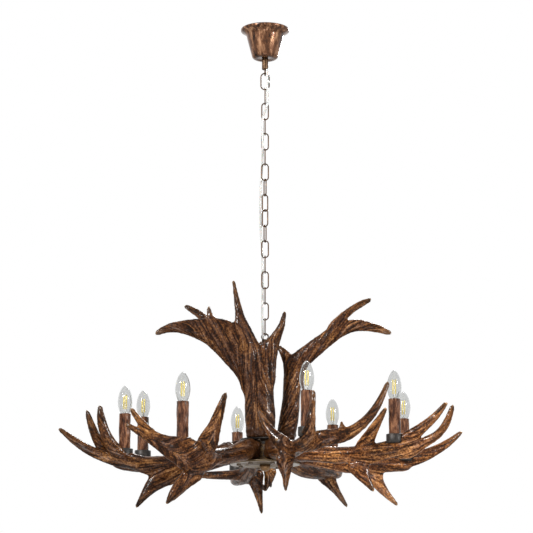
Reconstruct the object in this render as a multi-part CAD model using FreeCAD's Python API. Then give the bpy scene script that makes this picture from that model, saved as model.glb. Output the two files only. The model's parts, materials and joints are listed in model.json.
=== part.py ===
import FreeCAD, Part
import math
import os
from FreeCAD import Vector

# Antler chandelier hung from a ceiling on an oval-link chain.
# The origin is the centre of the ceiling plate's top face, so everything hangs below z = 0.
# X is to the right of someone who looks at the front, Y points away from them.

# ---- clearances
play = 0.3              # gap between pieces that bear on each other loosely
running_fit = 0.05      # radial clearance of a rod or tube in its hole

# ---- ceiling plate, canopy and its fittings
plate_length = 100.0
plate_width = 25.0
plate_thickness = 3.0
slot_spacing = 70.0     # between the middles of the two ceiling screw slots
slot_length = 14.0
slot_width = 5.0
rod_diameter = 10.0     # threaded tubes of the canopy and of the hub
rod_bore = 7.0
nut_across_flats = 17.0
nut_height = 6.0
canopy_rim_diameter = 122.0
canopy_rim_height = 5.0
canopy_height = 78.0
canopy_neck_diameter = 92.0     # where the flare under the rim turns into the taper
canopy_neck_depth = 22.0
canopy_bottom_diameter = 60.0
canopy_bottom_fillet = 8.0
canopy_wall = 1.2
terminal_length = 30.0
terminal_width = 16.0
terminal_height = 13.0
terminal_hole = 4.0
terminal_to_nut = 2.0

# ---- loops that carry the chain
loop_collar_diameter = 16.0
loop_collar_chamfer = 1.2
canopy_collar_height = 28.0
hub_collar_height = 25.0
loop_wire = 4.0
loop_radius = 8.0       # of the wire's centre line
loop_sunk = 4.5         # how far the ring's wire runs into its collar

# ---- chain
link_count = 17
link_wire = 3.2
link_inner_length = 39.6
link_outer_width = 19.6
open_link_outer_width = 24.0
open_link_gap = 4.5
twist_step = 18.0       # extra turn of each link where the chain is twisted
first_twisted_link = 8
last_twisted_link = 12
wire_sides = 5
wire_corner = 0.98      # how far a wire's corners reach, against flats that touch its round
bend_flats = 4          # round each end of a link

# ---- power cord
cord_diameter = 5.5
cord_stretches = 5

# ---- hub
hub_rod_length = 306.0
hub_rod_in_collar = 14.0
hub_body_diameter = 80.0
clamp_height = 53.0     # space between the two plates, where the lower antlers are clamped
top_plate_diameter = 124.0
top_plate_thickness = 4.0
disc_diameter = 170.0
disc_thickness = 5.0
cap_diameter = 26.0
cap_height = 16.0
bolt_diameter = 5.0
bolt_head_across = 9.0
bolt_head_height = 3.5
bolt_reach = 20.0       # into the antler
lower_bolt_radius = 66.0

# ---- candles
cup_diameter = 41.0
cup_height = 22.0
cup_wall = 1.6
sleeve_diameter = 29.0
sleeve_bore = 24.0
sleeve_length = 104.0
holder_diameter = 20.0
holder_height = 42.0
holder_bore = 14.6
holder_floor = 8.0
nipple_diameter = 8.0
nipple_in_antler = 9.0
nipple_in_holder = 6.0
bulb_diameter = 35.0
bulb_glass_height = 96.0
bulb_glass_in_sleeve = 27.0
bulb_neck_diameter = 13.0
bulb_cap_diameter = 14.0
bulb_cap_height = 24.0
bulb_wall = 1.2
bulb_to_sleeve = 1.2    # radial gap where the glass leaves the sleeve

# ---- antlers
ridge_depth = 0.05      # how far the long ridges stand out, as a share of the section
beam_sides = 8
tine_sides = 6
beam_rings = 11
tine_rings = 5
palm_rings = 6
burr_width = 42.0
burr_height = 50.0
burr_length = 34.0      # from the cut end to where the beam leaves the plates
burr_gap = 1.0          # from the hub body to the cut end of an antler
beam_width = 40.0       # of a lower antler, across
beam_height = 54.0      # of a lower antler, up and down
beam_dip = 200.0        # from the hub's axis to where a lower antler hangs lowest
cup_room = 1.5          # round the cup in the antler's flat seat
seat_depth = 11.0       # how much of the antler the candle's flat seat takes off
tine_thickest = 32.0

# ---- how an antler's sections change from its root to its tip, against its own width and height
burr_widths = (0.7, 1.0)
burr_heights = (0.9, 1.0)
beam_widths = (0.85, 0.85, 0.95, 1.1, 1.25, 1.22, 1.0, 0.78, 0.54, 0.26)
beam_heights = (0.9, 0.96, 1.06, 1.08, 1.04, 0.96, 0.8, 0.6, 0.42, 0.22)
tine_widths = (1.36, 1.1, 0.92, 0.76, 0.58, 0.26)
tine_heights = (1.0, 0.9, 0.82, 0.7, 0.56, 0.26)
palm_heights = (0.5, 0.94, 1.0, 0.84, 0.4)
palm_widths = (1.0, 1.0, 0.85, 1.0, 0.8)

# ---- flats of round pieces
small_sides = 8         # those that repeat at each candle
round_sides = 12        # rods, collars and caps
canopy_sides = 22
plate_sides = 24
cord_sides = 5
hidden_sides = 6        # bolt holes and lamp holders, which nothing shows


# ---- levels that follow from the sizes above
canopy_bottom = -canopy_height
canopy_ring_top = canopy_bottom - canopy_collar_height + loop_sunk
canopy_ring_centre = canopy_ring_top - loop_radius - loop_wire / 2
link_pitch = link_inner_length - play
first_link_top = canopy_ring_centre - loop_radius + loop_wire / 2 + play + link_wire
hub_ring_top = first_link_top - link_count * link_pitch + loop_wire - link_wire
hub_ring_centre = hub_ring_top - loop_radius - loop_wire / 2
hub_collar_top = hub_ring_centre - loop_radius - loop_wire / 2 + loop_sunk
hub_rod_top = hub_collar_top - hub_collar_height + hub_rod_in_collar
hub_rod_bottom = hub_rod_top - hub_rod_length
disc_bottom = hub_rod_bottom + cap_height / 2
disc_top = disc_bottom + disc_thickness
top_plate_bottom = disc_top + clamp_height
top_plate_top = top_plate_bottom + top_plate_thickness


def flat_face(points):
    return Part.Face(Part.makePolygon(points + points[:1]))


def facets_to_solid(faces):
    solid = Part.makeSolid(Part.makeShell(faces))
    if solid.Volume < 0:
        solid.reverse()
    return solid


def skin(rings, closed=False, triangles=False):
    """A solid from rings of points: a closed loop of them, or a run with flat ends."""
    faces = []
    pairs = list(zip(rings, rings[1:] + rings[:1])) if closed else list(zip(rings, rings[1:]))
    for low, high in pairs:
        for k in range(len(low)):
            n = (k + 1) % len(low)
            corners = [low[k], low[n], high[n], high[k]]
            corners = [p for i, p in enumerate(corners) if (p - corners[i - 1]).Length > 1e-6]
            if len(corners) < 3:
                continue
            if triangles:
                faces.append(flat_face(corners[:3]))
                faces.append(flat_face([corners[0], corners[2], corners[3]]))
            else:
                faces.append(flat_face(corners))
    if not closed:
        faces.append(flat_face(list(rings[0])))
        faces.append(flat_face(list(rings[-1])))
    return facets_to_solid(faces)


def turned(profile, x=0.0, y=0.0, sides=small_sides):
    """A round piece with flats. The profile is (radius, z) points around one side of its section."""
    rings = []
    for k in range(sides):
        turn = 2 * math.pi * k / sides
        rings.append([Vector(x + r * math.cos(turn), y + r * math.sin(turn), z) for r, z in profile])
    return skin(rings, closed=True)


def section_points(edges, steps=3):
    """(radius, z) points along a section: the ends of its straight edges and some points of its arcs."""
    points = []
    for edge in edges:
        straight = isinstance(edge.Curve, Part.Line)
        points += edge.discretize(2 if straight else steps + 1)[:-1]
    return [(p.x, p.z) for p in points]


def round_room(radius, depth, x, y, z, sides=small_sides):
    """A round hole's cutter, whose flats lie outside this radius."""
    r = radius / math.cos(math.pi / sides)
    return turned([(0, z), (r, z), (r, z + depth), (0, z + depth)], x, y, sides)


def hole_radius(diameter, clearance, sides=small_sides):
    """The corner radius of a hole with flats that takes a round piece of this diameter."""
    return (diameter / 2 + clearance) / math.cos(math.pi / sides)


def hexagon(across, height, x, y, z):
    corner = across / math.sqrt(3)
    points = []
    for k in range(6):
        turn = math.radians(60 * k)
        points.append(Vector(x + corner * math.cos(turn), y + corner * math.sin(turn), z))
    return flat_face(points).extrude(Vector(0, 0, height))


def bored(outer, inner, height, z, sides=round_sides):
    """A round piece with a round hole right through it, both about the vertical axis."""
    return turned([(inner, z), (outer, z), (outer, z + height), (inner, z + height)], sides=sides)


def wire_tube(path, diameter, closed, normal, sides=wire_sides):
    """A tube with flats along a flat path of straight bits, mitred at each corner."""
    rings = []
    count = len(path)
    for i, point in enumerate(path):
        before = path[i - 1] if closed or i else None
        after = path[(i + 1) % count] if closed or i < count - 1 else None
        arrive = (point - before).normalize() if before else (after - point).normalize()
        leave = (after - point).normalize() if after else arrive
        along = (arrive + leave).normalize()
        across = along.cross(normal)
        stretch = 1 / along.dot(arrive)
        ring = []
        for k in range(sides):
            turn = 2 * math.pi * (k + 0.5) / sides
            reach = diameter / 2 / math.cos(math.pi / sides) * wire_corner
            flat_way = across * (reach * stretch * math.cos(turn))
            ring.append(point + flat_way + normal * (reach * math.sin(turn)))
        rings.append(ring)
    return skin(rings, closed=closed)


def rod_hole(z, depth):
    """The hole that a threaded tube passes through."""
    r = rod_diameter / 2 + running_fit
    return turned([(0, z), (r, z), (r, z + depth), (0, z + depth)], sides=round_sides)


# ---- ceiling group

def ceiling_plate():
    half = plate_length / 2
    corner = Vector(-half, -plate_width / 2, -plate_thickness)
    bar = Part.makeBox(plate_length, plate_width, plate_thickness, corner)
    bar = bar.makeChamfer(plate_width / 6, [e for e in bar.Edges if e.Length < plate_thickness + 0.1])
    below = -2 * plate_thickness
    deep = 3 * plate_thickness
    for side in (-1, 1):
        middle = side * slot_spacing / 2
        run = slot_length - slot_width
        slot = Part.makeBox(run, slot_width, deep, Vector(middle - run / 2, -slot_width / 2, below))
        for end in (-1, 1):
            slot = slot.fuse(Part.makeCylinder(slot_width / 2, deep, Vector(middle + end * run / 2, 0, below)))
        bar = bar.cut(slot)
    return bar.cut(rod_hole(below, deep))


def canopy():
    rim = canopy_rim_diameter / 2
    neck = canopy_neck_diameter / 2
    low = canopy_bottom_diameter / 2
    fillet = canopy_bottom_fillet

    def outline(inset):
        """The section from the rim down to the flat bottom, moved in by the wall."""
        edge = Vector(rim - inset, 0, 0)
        under = Vector(rim - inset, 0, -canopy_rim_height + inset)
        waist = Vector(neck - inset, 0, -canopy_neck_depth)
        flare = canopy_neck_depth - canopy_rim_height
        hollow = Vector(neck + 0.3 * (rim - neck) - inset, 0, -canopy_rim_height - 0.55 * flare)
        corner = Vector(low + fillet * 0.35 - inset, 0, canopy_bottom + fillet)
        bend = Vector(low - fillet * 0.2 - inset * 0.7, 0, canopy_bottom + fillet * 0.25 + inset * 0.7)
        foot = Vector(low - fillet * 0.8 - inset * 0.3, 0, canopy_bottom + inset)
        axis = Vector(0, 0, canopy_bottom + inset)
        edges = [
            Part.LineSegment(edge, under).toShape(),
            Part.Arc(under, hollow, waist).toShape(),
            Part.LineSegment(waist, corner).toShape(),
            Part.Arc(corner, bend, foot).toShape(),
            Part.LineSegment(foot, axis).toShape(),
        ]
        return section_points(edges)

    bore = rod_diameter / 2 + running_fit
    outside = outline(0)
    inside = outline(canopy_wall)
    edge = [(bore, canopy_bottom + canopy_wall), (bore, canopy_bottom)]
    return turned(edge + outside[::-1] + inside, sides=canopy_sides)


def canopy_nipple():
    length = canopy_height + canopy_collar_height / 2 - play
    return bored(rod_diameter / 2, rod_bore / 2, length, -play - length)


def plate_nut():
    low = -plate_thickness - nut_height
    nut = hexagon(nut_across_flats, nut_height, 0, 0, low)
    return nut.cut(rod_hole(low, nut_height))


def terminal_block():
    z = -plate_thickness - terminal_height
    x = nut_across_flats / math.sqrt(3) + terminal_to_nut
    corner = Vector(x, -terminal_width / 2, z)
    block = Part.makeBox(terminal_length, terminal_width, terminal_height, corner)
    for k in range(3):
        middle = x + terminal_length * (k + 0.5) / 3
        hole = round_room(terminal_hole / 2, terminal_width, 0, 0, 0)
        hole.rotate(Vector(0, 0, 0), Vector(1, 0, 0), 90)
        hole.translate(Vector(middle, terminal_width / 2, z + terminal_height / 2))
        block = block.cut(hole)
    return block


def ring_of_wire(centre_z, turn):
    """A loop of wire that stands upright in the vertical plane at this turn."""
    sides = 10
    flat = Vector(math.cos(math.radians(turn)), math.sin(math.radians(turn)), 0)
    normal = Vector(-flat.y, flat.x, 0)
    path = []
    for k in range(sides):
        a = 2 * math.pi * (k + 0.5) / sides
        reach = loop_radius / math.cos(math.pi / sides)
        path.append(Vector(0, 0, centre_z + reach * math.sin(a)) + flat * (reach * math.cos(a)))
    return wire_tube(path, loop_wire, True, normal)


def collar(top, height, bore_from, bore_to):
    r = loop_collar_diameter / 2
    low = top - height
    c = loop_collar_chamfer
    side = [(r - c, low), (r, low + c), (r, top - c), (r - c, top)]
    body = turned([(0, low)] + side + [(0, top)], sides=round_sides)
    return body.cut(rod_hole(bore_from, bore_to - bore_from))


def canopy_loop():
    low = canopy_bottom - canopy_collar_height / 2 - play
    body = collar(canopy_bottom, canopy_collar_height, low, canopy_bottom)
    return body.fuse(ring_of_wire(canopy_ring_centre, 90))


def hub_loop():
    low = hub_collar_top - hub_collar_height
    body = collar(hub_collar_top, hub_collar_height, low, hub_rod_top + play)
    return body.fuse(ring_of_wire(hub_ring_centre, link_turn(link_count) + 90))


# ---- chain

def link_turn(number):
    """The direction of a link's flat plane about the vertical, in degrees from X."""
    twisted = min(max(number - first_twisted_link + 1, 0), last_twisted_link - first_twisted_link + 1)
    return 90.0 * (number - 1) + twist_step * twisted


def link_top(number):
    return first_link_top - (number - 1) * link_pitch


def link_path(outer_width, gap, flat, middle):
    """The centre line of an oval link, with flats round each end."""
    bend = (outer_width - link_wire) / 2
    straight = (link_inner_length + link_wire) / 2 - bend
    local = []
    for end in (1, -1):
        for k in range(bend_flats + 1):
            half = math.pi / bend_flats / 2
            a = 2 * half * k + (0 if end == 1 else math.pi)
            reach = bend / math.cos(half)
            if k in (0, bend_flats):
                reach = bend
            local.append((reach * math.cos(a), end * straight + reach * math.sin(a)))
    if gap:
        local = [(bend, gap / 2)] + local + [(bend, -gap / 2)]
    return [middle + flat * x + Vector(0, 0, z) for x, z in local]


def chain_link(number):
    turn = math.radians(link_turn(number))
    flat = Vector(math.cos(turn), math.sin(turn), 0)
    normal = Vector(-flat.y, flat.x, 0)
    middle = Vector(0, 0, link_top(number) - link_wire - link_inner_length / 2)
    if number == 1:
        opened = link_path(open_link_outer_width, open_link_gap, flat, middle)
        return wire_tube(opened, link_wire, False, normal)
    return wire_tube(link_path(link_outer_width, 0, flat, middle), link_wire, True, normal)


# ---- cord, woven down the chain

cord_route = [
    (5.4, -5.4, canopy_bottom - canopy_collar_height),
    (6.0, -6.3, -128.0),
    (6.2, -5.9, -162.0),
    (7.2, -5.7, -196.0),
    (-7.0, -5.9, -234.0),
    (-6.2, -6.3, -272.0),
    (-5.8, -7.6, -312.0),
    (-7.0, 7.8, -353.0),
    (-10.0, 8.6, -392.0),
    (-11.6, 8.2, -432.0),
    (-11.9, 8.5, -472.0),
    (-11.4, 8.3, -512.0),
    (-8.6, 7.4, -552.0),
    (-6.4, 6.4, -592.0),
    (-6.2, 6.0, -630.0),
    (-6.0, 7.6, -667.0),
    (-6.6, -7.4, -706.0),
    (-7.4, -5.8, -740.0),
    (-6.2, -6.2, -770.0),
    (-5.2, -5.7, hub_collar_top),
]


def cord_runs():
    """The cord's straight runs, joined by arcs that touch the runs on both sides of each point."""
    points = [Vector(*p) for p in cord_route]
    starts = [points[0]]
    ends = []
    arcs = []
    for before, point, after in zip(points, points[1:], points[2:]):
        arrive = (point - before).normalize()
        leave = (after - point).normalize()
        turn = arrive.getAngle(leave)
        run = min((point - before).Length, (after - point).Length)
        radius = 0.45 * run / math.tan(turn / 2)
        cut = 0.45 * run
        inward = (leave - arrive).normalize()
        middle = point + inward * (radius / math.cos(turn / 2) - radius)
        ends.append(point - arrive * cut)
        arcs.append((point - arrive * cut, middle, point + leave * cut, radius))
        starts.append(point + leave * cut)
    ends.append(points[-1])
    return list(zip(starts, ends)), arcs


def cord_stretch(number):
    """One stretch of the cord. Stretches meet face to face in the middle of a straight run."""
    runs, arcs = cord_runs()
    first = round((len(runs) - 1) * (number - 1) / cord_stretches)
    last = round((len(runs) - 1) * number / cord_stretches)
    edges = []
    length = 0.0
    for k in range(first, last + 1):
        start, end = runs[k]
        if k == first and number > 1:
            start = (start + end) / 2
        if k == last and number < cord_stretches:
            end = (start + end) / 2
        edges.append(Part.LineSegment(start, end).toShape())
        if k < last:
            arrive, middle, leave, radius = arcs[k]
            edges.append(Part.Arc(arrive, middle, leave).toShape())
            print("cord radius %.0f mm" % radius)
    path = Part.Wire(edges)
    start = edges[0].valueAt(edges[0].FirstParameter)
    along = edges[0].tangentAt(edges[0].FirstParameter)
    across = along.cross(Vector(0, 1, 0)).normalize()
    aside = along.cross(across)
    r = cord_diameter / 2
    ring = []
    for k in range(cord_sides):
        turn = 2 * math.pi * (k + 0.5) / cord_sides
        ring.append(start + across * (r * math.cos(turn)) + aside * (r * math.sin(turn)))
    end = Part.makePolygon(ring + ring[:1])
    tube = path.makePipeShell([end], True, False)
    section = Part.Face(end).Area
    print("cord stretch %d: %.1f mm long, volume over section times length %.4f"
          % (number, path.Length, tube.Volume / (section * path.Length)))
    return tube


# ---- hub

def hub_rod():
    return bored(rod_diameter / 2, rod_bore / 2, hub_rod_length, hub_rod_bottom)


def round_plate(diameter, thickness, bottom):
    return bored(diameter / 2, rod_diameter / 2 + running_fit, thickness, bottom, plate_sides)


def hub_body():
    """A turned spool that the lower antlers stand round, clamped between the plates."""
    outer = hub_body_diameter / 2
    waist = outer * 0.86
    low = disc_top
    high = top_plate_bottom
    lip = clamp_height * 0.12
    bore = rod_diameter / 2 + running_fit
    middle = Vector(waist, 0, (low + high) / 2)
    hollow = Part.Arc(Vector(outer, 0, low + lip), middle, Vector(outer, 0, high - lip))
    side = section_points([hollow.toShape()]) + [(outer, high - lip)]
    return turned([(bore, low), (outer, low)] + side + [(outer, high), (bore, high)], sides=round_sides)


def hub_cap():
    """A domed nut that closes the rod's lower end and holds the disc up."""
    r = cap_diameter / 2
    top = disc_bottom
    low = disc_bottom - cap_height
    bore = rod_diameter / 2 + running_fit
    floor = hub_rod_bottom - play
    shoulder = Vector(r, 0, top - cap_height * 0.35)
    dome = Part.Arc(shoulder, Vector(r * 0.72, 0, top - cap_height * 0.82), Vector(0, 0, low))
    side = section_points([dome.toShape()])
    return turned([(0, floor), (bore, floor), (bore, top), (r, top)] + side + [(0, low)], sides=round_sides)


def bolt(x, y, seat, through, upwards):
    """A hexagon bolt whose head bears on a plate and whose shank runs into an antler."""
    way = 1 if upwards else -1
    head = hexagon(bolt_head_across, -way * bolt_head_height, x, y, seat)
    shank = hexagon(bolt_diameter * math.sqrt(3) / 2, way * (through + bolt_reach), x, y, seat)
    return head.fuse(shank)


def bolt_places():
    """(x, y) of each lower antler's bolt through the disc and each upper one's through the top plate."""
    lower = []
    for data in lower_antlers:
        turn = math.radians(data["azimuth"] - 90)
        lower.append((lower_bolt_radius * math.cos(turn), lower_bolt_radius * math.sin(turn)))
    upper = [data["beam"][0][:2] for data in upper_antlers]
    return lower, upper


def antler_bolts():
    lower, upper = bolt_places()
    bolts = [bolt(x, y, disc_bottom, disc_thickness, True) for x, y in lower]
    bolts += [bolt(x, y, top_plate_bottom, top_plate_thickness, True) for x, y in upper]
    return Part.Compound(bolts)


def drilled(plate, places, bottom, thickness):
    for x, y in places:
        plate = plate.cut(round_room(bolt_diameter / 2 + play, thickness, x, y, bottom, hidden_sides))
    return plate


def hub_disc():
    plate = round_plate(disc_diameter, disc_thickness, disc_bottom)
    return drilled(plate, bolt_places()[0], disc_bottom, disc_thickness)


def hub_top_plate():
    plate = round_plate(top_plate_diameter, top_plate_thickness, top_plate_bottom)
    return drilled(plate, bolt_places()[1], top_plate_bottom, top_plate_thickness)


# ---- candles

def candle_cup(x, y, z):
    r = cup_diameter / 2
    hole = hole_radius(nipple_diameter, play)
    rim = z + cup_height
    floor = z + cup_wall
    section = [(hole, z), (r, z), (r, rim), (r - cup_wall, rim), (r - cup_wall, floor), (hole, floor)]
    return turned(section, x, y)


def candle_sleeve(x, y, z):
    """A tall tube like a stub of bark-covered branch: its wall swells and pinches."""
    low = z + cup_wall + play
    r = sleeve_diameter / 2
    bore = sleeve_bore / 2
    profile = [(bore, low)]
    for share, swell in ((0, 0.98), (0.5, 0.95), (1, 1.0)):
        profile.append((r * swell, low + sleeve_length * share))
    profile.append((bore, low + sleeve_length))
    return turned(profile, x, y)


def holder_top(z):
    return z + cup_wall + play + sleeve_length - bulb_glass_in_sleeve - play


def lamp_holder(x, y, z):
    top = holder_top(z)
    low = top - holder_height
    outer = holder_diameter / 2
    bore = hole_radius(holder_bore, 0, hidden_sides)
    hole = hole_radius(nipple_diameter, running_fit, hidden_sides)
    floor = low + holder_floor
    section = [(hole, low), (outer, low), (outer, top), (bore, top), (bore, floor), (hole, floor)]
    return turned(section, x, y, hidden_sides)


def candle_nipple(x, y, z):
    low = z - nipple_in_antler
    high = holder_top(z) - holder_height + nipple_in_holder
    r = nipple_diameter / 2
    return turned([(r * 0.6, low), (r, low), (r, high), (r * 0.6, high)], x, y, 6)


def bulb(x, y, z):
    """A candle bulb: a glass flame on a narrow neck, and the screw cap under it."""
    seat = holder_top(z) + play
    r = bulb_diameter / 2
    neck = bulb_neck_diameter / 2
    lip = seat + bulb_glass_in_sleeve
    flame = bulb_glass_height - bulb_glass_in_sleeve
    glass = [(neck - bulb_wall, seat), (neck, seat), (sleeve_bore / 2 - bulb_to_sleeve, lip)]
    for share, width in ((0.2, 0.97), (0.42, 1.0), (0.74, 0.68), (1, 0)):
        glass.append((r * width, lip + flame * share))
    glass.append((0, lip + flame - 2 * bulb_wall))
    for share, width in ((0.7, 0.7), (0.3, 0.96)):
        glass.append((r * width - bulb_wall, lip + flame * share))
    envelope = turned(glass, x, y)
    cap = bulb_cap_diameter / 2
    low = seat - bulb_cap_height
    base = turned([(0, low), (cap, low + bulb_cap_height / 4), (cap, seat), (0, seat)], x, y)
    return Part.Compound([envelope, base])


def at_each_candle(make):
    shapes = []
    for data in lower_antlers:
        place = candle_place(data)
        shapes.append(make(place.x, place.y, place.z))
    return shapes


# ---- antlers

def blend_sizes(sizes, share):
    """A size part of the way along a list of evenly spaced ones."""
    spot = share * (len(sizes) - 1)
    first = min(int(spot), len(sizes) - 2)
    return sizes[first] + (sizes[first + 1] - sizes[first]) * (spot - first)


def antler_ring(centre, along, face, width, thickness, sides):
    """A section of antler: an oval with long ridges, wide across and thin towards the face."""
    across = along.cross(face).normalize()
    up = across.cross(along).normalize()
    ring = []
    for k in range(sides):
        turn = 2 * math.pi * k / sides
        ridge = 1 + (ridge_depth if k % 2 else -ridge_depth)
        sideways_part = across * (width / 2 * ridge * math.cos(turn))
        ring.append(centre + sideways_part + up * (thickness / 2 * ridge * math.sin(turn)))
    return ring


def run_of_antler(curve, widths, thicknesses, face, rings, sides):
    first = curve.FirstParameter
    last = curve.LastParameter
    sections = []
    for k in range(rings):
        share = k / (rings - 1)
        spot = first + (last - first) * share
        along = Vector(*curve.tangent(spot)[0])
        width = blend_sizes(widths, share)
        thickness = blend_sizes(thicknesses, share)
        sections.append(antler_ring(curve.value(spot), along, face, width, thickness, sides))
    return skin(sections, triangles=True)


def beam_curve(points):
    curve = Part.BSplineCurve()
    curve.interpolate([Vector(*p) for p in points])
    return curve


def tine(beam, at, tip, base, face, lift=0.25):
    """A tine grows out of a flared root, sideways first, and then bends towards its tip."""
    root = beam.value(beam.FirstParameter + (beam.LastParameter - beam.FirstParameter) * at)
    tip = Vector(*tip)
    reach = tip - root
    bend = root + Vector(reach.x * 0.6, reach.y * 0.6, reach.z * lift)
    curve = Part.BezierCurve()
    curve.setPoles([root, bend, tip])
    widths = [base * w for w in tine_widths]
    thicknesses = [min(base, tine_thickest) * w for w in tine_heights]
    return run_of_antler(curve, widths, thicknesses, face, tine_rings, tine_sides)


def palm(points, height, thickness):
    """The upright blade of an antler's palm, whose rim hides the foot of a candle."""
    widths = [thickness * w for w in palm_widths]
    heights = [height * w for w in palm_heights]
    return run_of_antler(beam_curve(points), widths, heights, Vector(0, 0, 1), palm_rings, tine_sides)


def grow(points, widths, thicknesses, face, tines):
    beam = beam_curve(points)
    solid = run_of_antler(beam, widths, thicknesses, face, beam_rings, beam_sides)
    limbs = []
    for at, tip, base, facing, lift in tines:
        limbs.append(tine(beam, at, tip, base, Vector(*facing), lift))
    return solid.fuse(limbs)


upward = (0, 0, 1)
outward = (1, 0, 0)
sideways = (0, 1, 0)

# Each lower antler: its azimuth, how stout it is, its candle's radius and seat height, the beam beyond
# the candle, its tines as (share of the beam, tip, base width, facing, how soon it rises), and the blade
# of its palm as (points, height, thickness) where it has one in front of the candle.
# Places are (outward, sideways, up) in the antler's own frame, from the disc's top face.
lower_antlers = [
    dict(azimuth=-32, girth=0.96, candle=357, seat=3,
         beyond=[(425, -40, 0), (458, -62, 16), (487, -74, 52)],
         tines=[(0.74, (463, -72, 88), 30, outward, 0.5),
                (0.54, (265, 62, 142), 52, sideways, 0.3),
                (0.60, (421, 0, -129), 54, sideways, 0.35),
                (0.48, (432, 30, -122), 44, sideways, 0.5)],
         palm=([(292, 24, -4), (350, 52, -15), (384, 16, -19), (408, -20, -15), (432, -46, 2)], 80, 18)),
    dict(azimuth=16, girth=0.95, candle=347, seat=24,
         beyond=[(368, 70, 16), (374, 130, 60), (380, 185, 155)],
         tines=[(0.28, (200, -71, 103), 34, outward, 0.3),
                (0.56, (386, 6, 126), 34, sideways, 0.35),
                (0.64, (394, 64, 52), 26, outward, 0.3),
                (0.36, (250, -22, -89), 38, outward, 0.3)],
         palm=([(318, -22, -2), (364, -46, -2), (381, -9, 4), (392, 36, 9), (380, 84, 24)], 50, 17)),
    dict(azimuth=62, girth=0.98, candle=347, seat=28,
         beyond=[(408, 6, 8), (458, 20, 36), (486, 34, 118)],
         tines=[(0.62, (474, 16, 124), 38, sideways, 0.45),
                (0.36, (336, -24, 114), 60, sideways, 0.35),
                (0.42, (287, 10, -78), 38, sideways, 0.3)]),
    dict(azimuth=107, girth=1.00, candle=361, seat=15,
         beyond=[(430, 0, 16), (480, 4, 50), (515, 0, 99)],
         tines=[(0.46, (343, 0, -91), 56, sideways, 0.4),
                (0.72, (410, 74, 40), 32, outward, 0.3)]),
    dict(azimuth=152, girth=1.14, candle=373, seat=28,
         beyond=[(420, 12, 12), (446, 20, 20), (466, 24, 36)],
         tines=[(0.50, (400, -33, -67), 52, sideways, 0.3),
                (0.5, (330, 60, 50), 30, outward, 0.3)]),
    dict(azimuth=192, girth=1.20, candle=347, seat=10,
         beyond=[(395, -10, -4), (425, -18, 12), (440, -20, 34)],
         tines=[(0.38, (250, -45, -100), 52, outward, 0.3),
                (0.46, (300, 112, -2), 48, upward, 0.3),
                (0.60, (330, -74, -34), 34, outward, 0.3),
                (0.66, (336, -92, -22), 26, outward, 0.3)]),
    dict(azimuth=244, girth=1.24, candle=341, seat=25,
         beyond=[(380, 0, 10), (405, 6, 14), (425, 10, 26)],
         tines=[(0.60, (360, -60, 30), 34, outward, 0.3),
                (0.5, (300, 70, 10), 34, outward, 0.3)]),
    dict(azimuth=285, girth=1.00, candle=348, seat=2,
         beyond=[(420, 10, 2), (470, 16, 26), (510, 20, 69)],
         tines=[(0.74, (443, 0, 116), 44, sideways, 0.6),
                (0.66, (412, 34, 126), 48, sideways, 0.6),
                (0.46, (322, 20, -116), 50, sideways, 0.35)],
         palm=([(290, 18, -6), (325, 34, -5), (357, 33, -4), (392, 28, 0), (425, 14, 6)], 44, 15)),
]


def candle_place(data):
    """Where a candle's axis meets its seat, in the chandelier's frame."""
    turn = math.radians(data["azimuth"] - 90)
    return Vector(data["candle"] * math.cos(turn), data["candle"] * math.sin(turn), disc_top + data["seat"])


def clamp_room():
    """What the disc, the top plate and the spool take away from a lower antler's clamped end."""
    deep = clamp_height
    disc = round_room(disc_diameter / 2, deep, 0, 0, disc_top - deep, plate_sides)
    plate = round_room(top_plate_diameter / 2, deep, 0, 0, top_plate_bottom, plate_sides)
    spool = round_room(hub_body_diameter / 2 + play, clamp_height, 0, 0, disc_top, plate_sides)
    return [disc, plate, spool]


def lower_antler(data):
    start = hub_body_diameter / 2 + burr_gap
    middle = clamp_height / 2
    wide = beam_width * data["girth"]
    high = beam_height * data["girth"]
    seat_axis = data["seat"] + seat_depth - high / 2
    points = [(start, 0, middle), (start + burr_length, 0, middle)]
    points += [(beam_dip, 0, seat_axis / 2), (data["candle"], 0, seat_axis)]
    points += data["beyond"]
    widths = [burr_width * w for w in burr_widths] + [wide * w for w in beam_widths]
    thicknesses = [burr_height * w for w in burr_heights] + [high * w for w in beam_heights]
    solid = grow(points, widths, thicknesses, Vector(0, 0, 1), data["tines"])
    if "palm" in data:
        solid = solid.fuse(palm(*data["palm"]))
    solid.rotate(Vector(0, 0, 0), Vector(0, 0, 1), data["azimuth"] - 90)
    solid.translate(Vector(0, 0, disc_top))
    place = candle_place(data)
    seat = round_room(cup_diameter / 2 + cup_room, sleeve_length, place.x, place.y, place.z)
    return solid.cut([seat] + clamp_room())


def upper_antler(data):
    points = [(x, y, top_plate_top + z) for x, y, z in data["beam"]]
    tines = []
    for at, tip, base, face, lift in data["tines"]:
        tines.append((at, (tip[0], tip[1], top_plate_top + tip[2]), base, face, lift))
    solid = grow(points, data["widths"], data["thicknesses"], Vector(*data["face"]), tines)
    foot = round_room(top_plate_diameter, clamp_height, 0, 0, top_plate_top - clamp_height)
    return solid.cut(foot)


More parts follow.
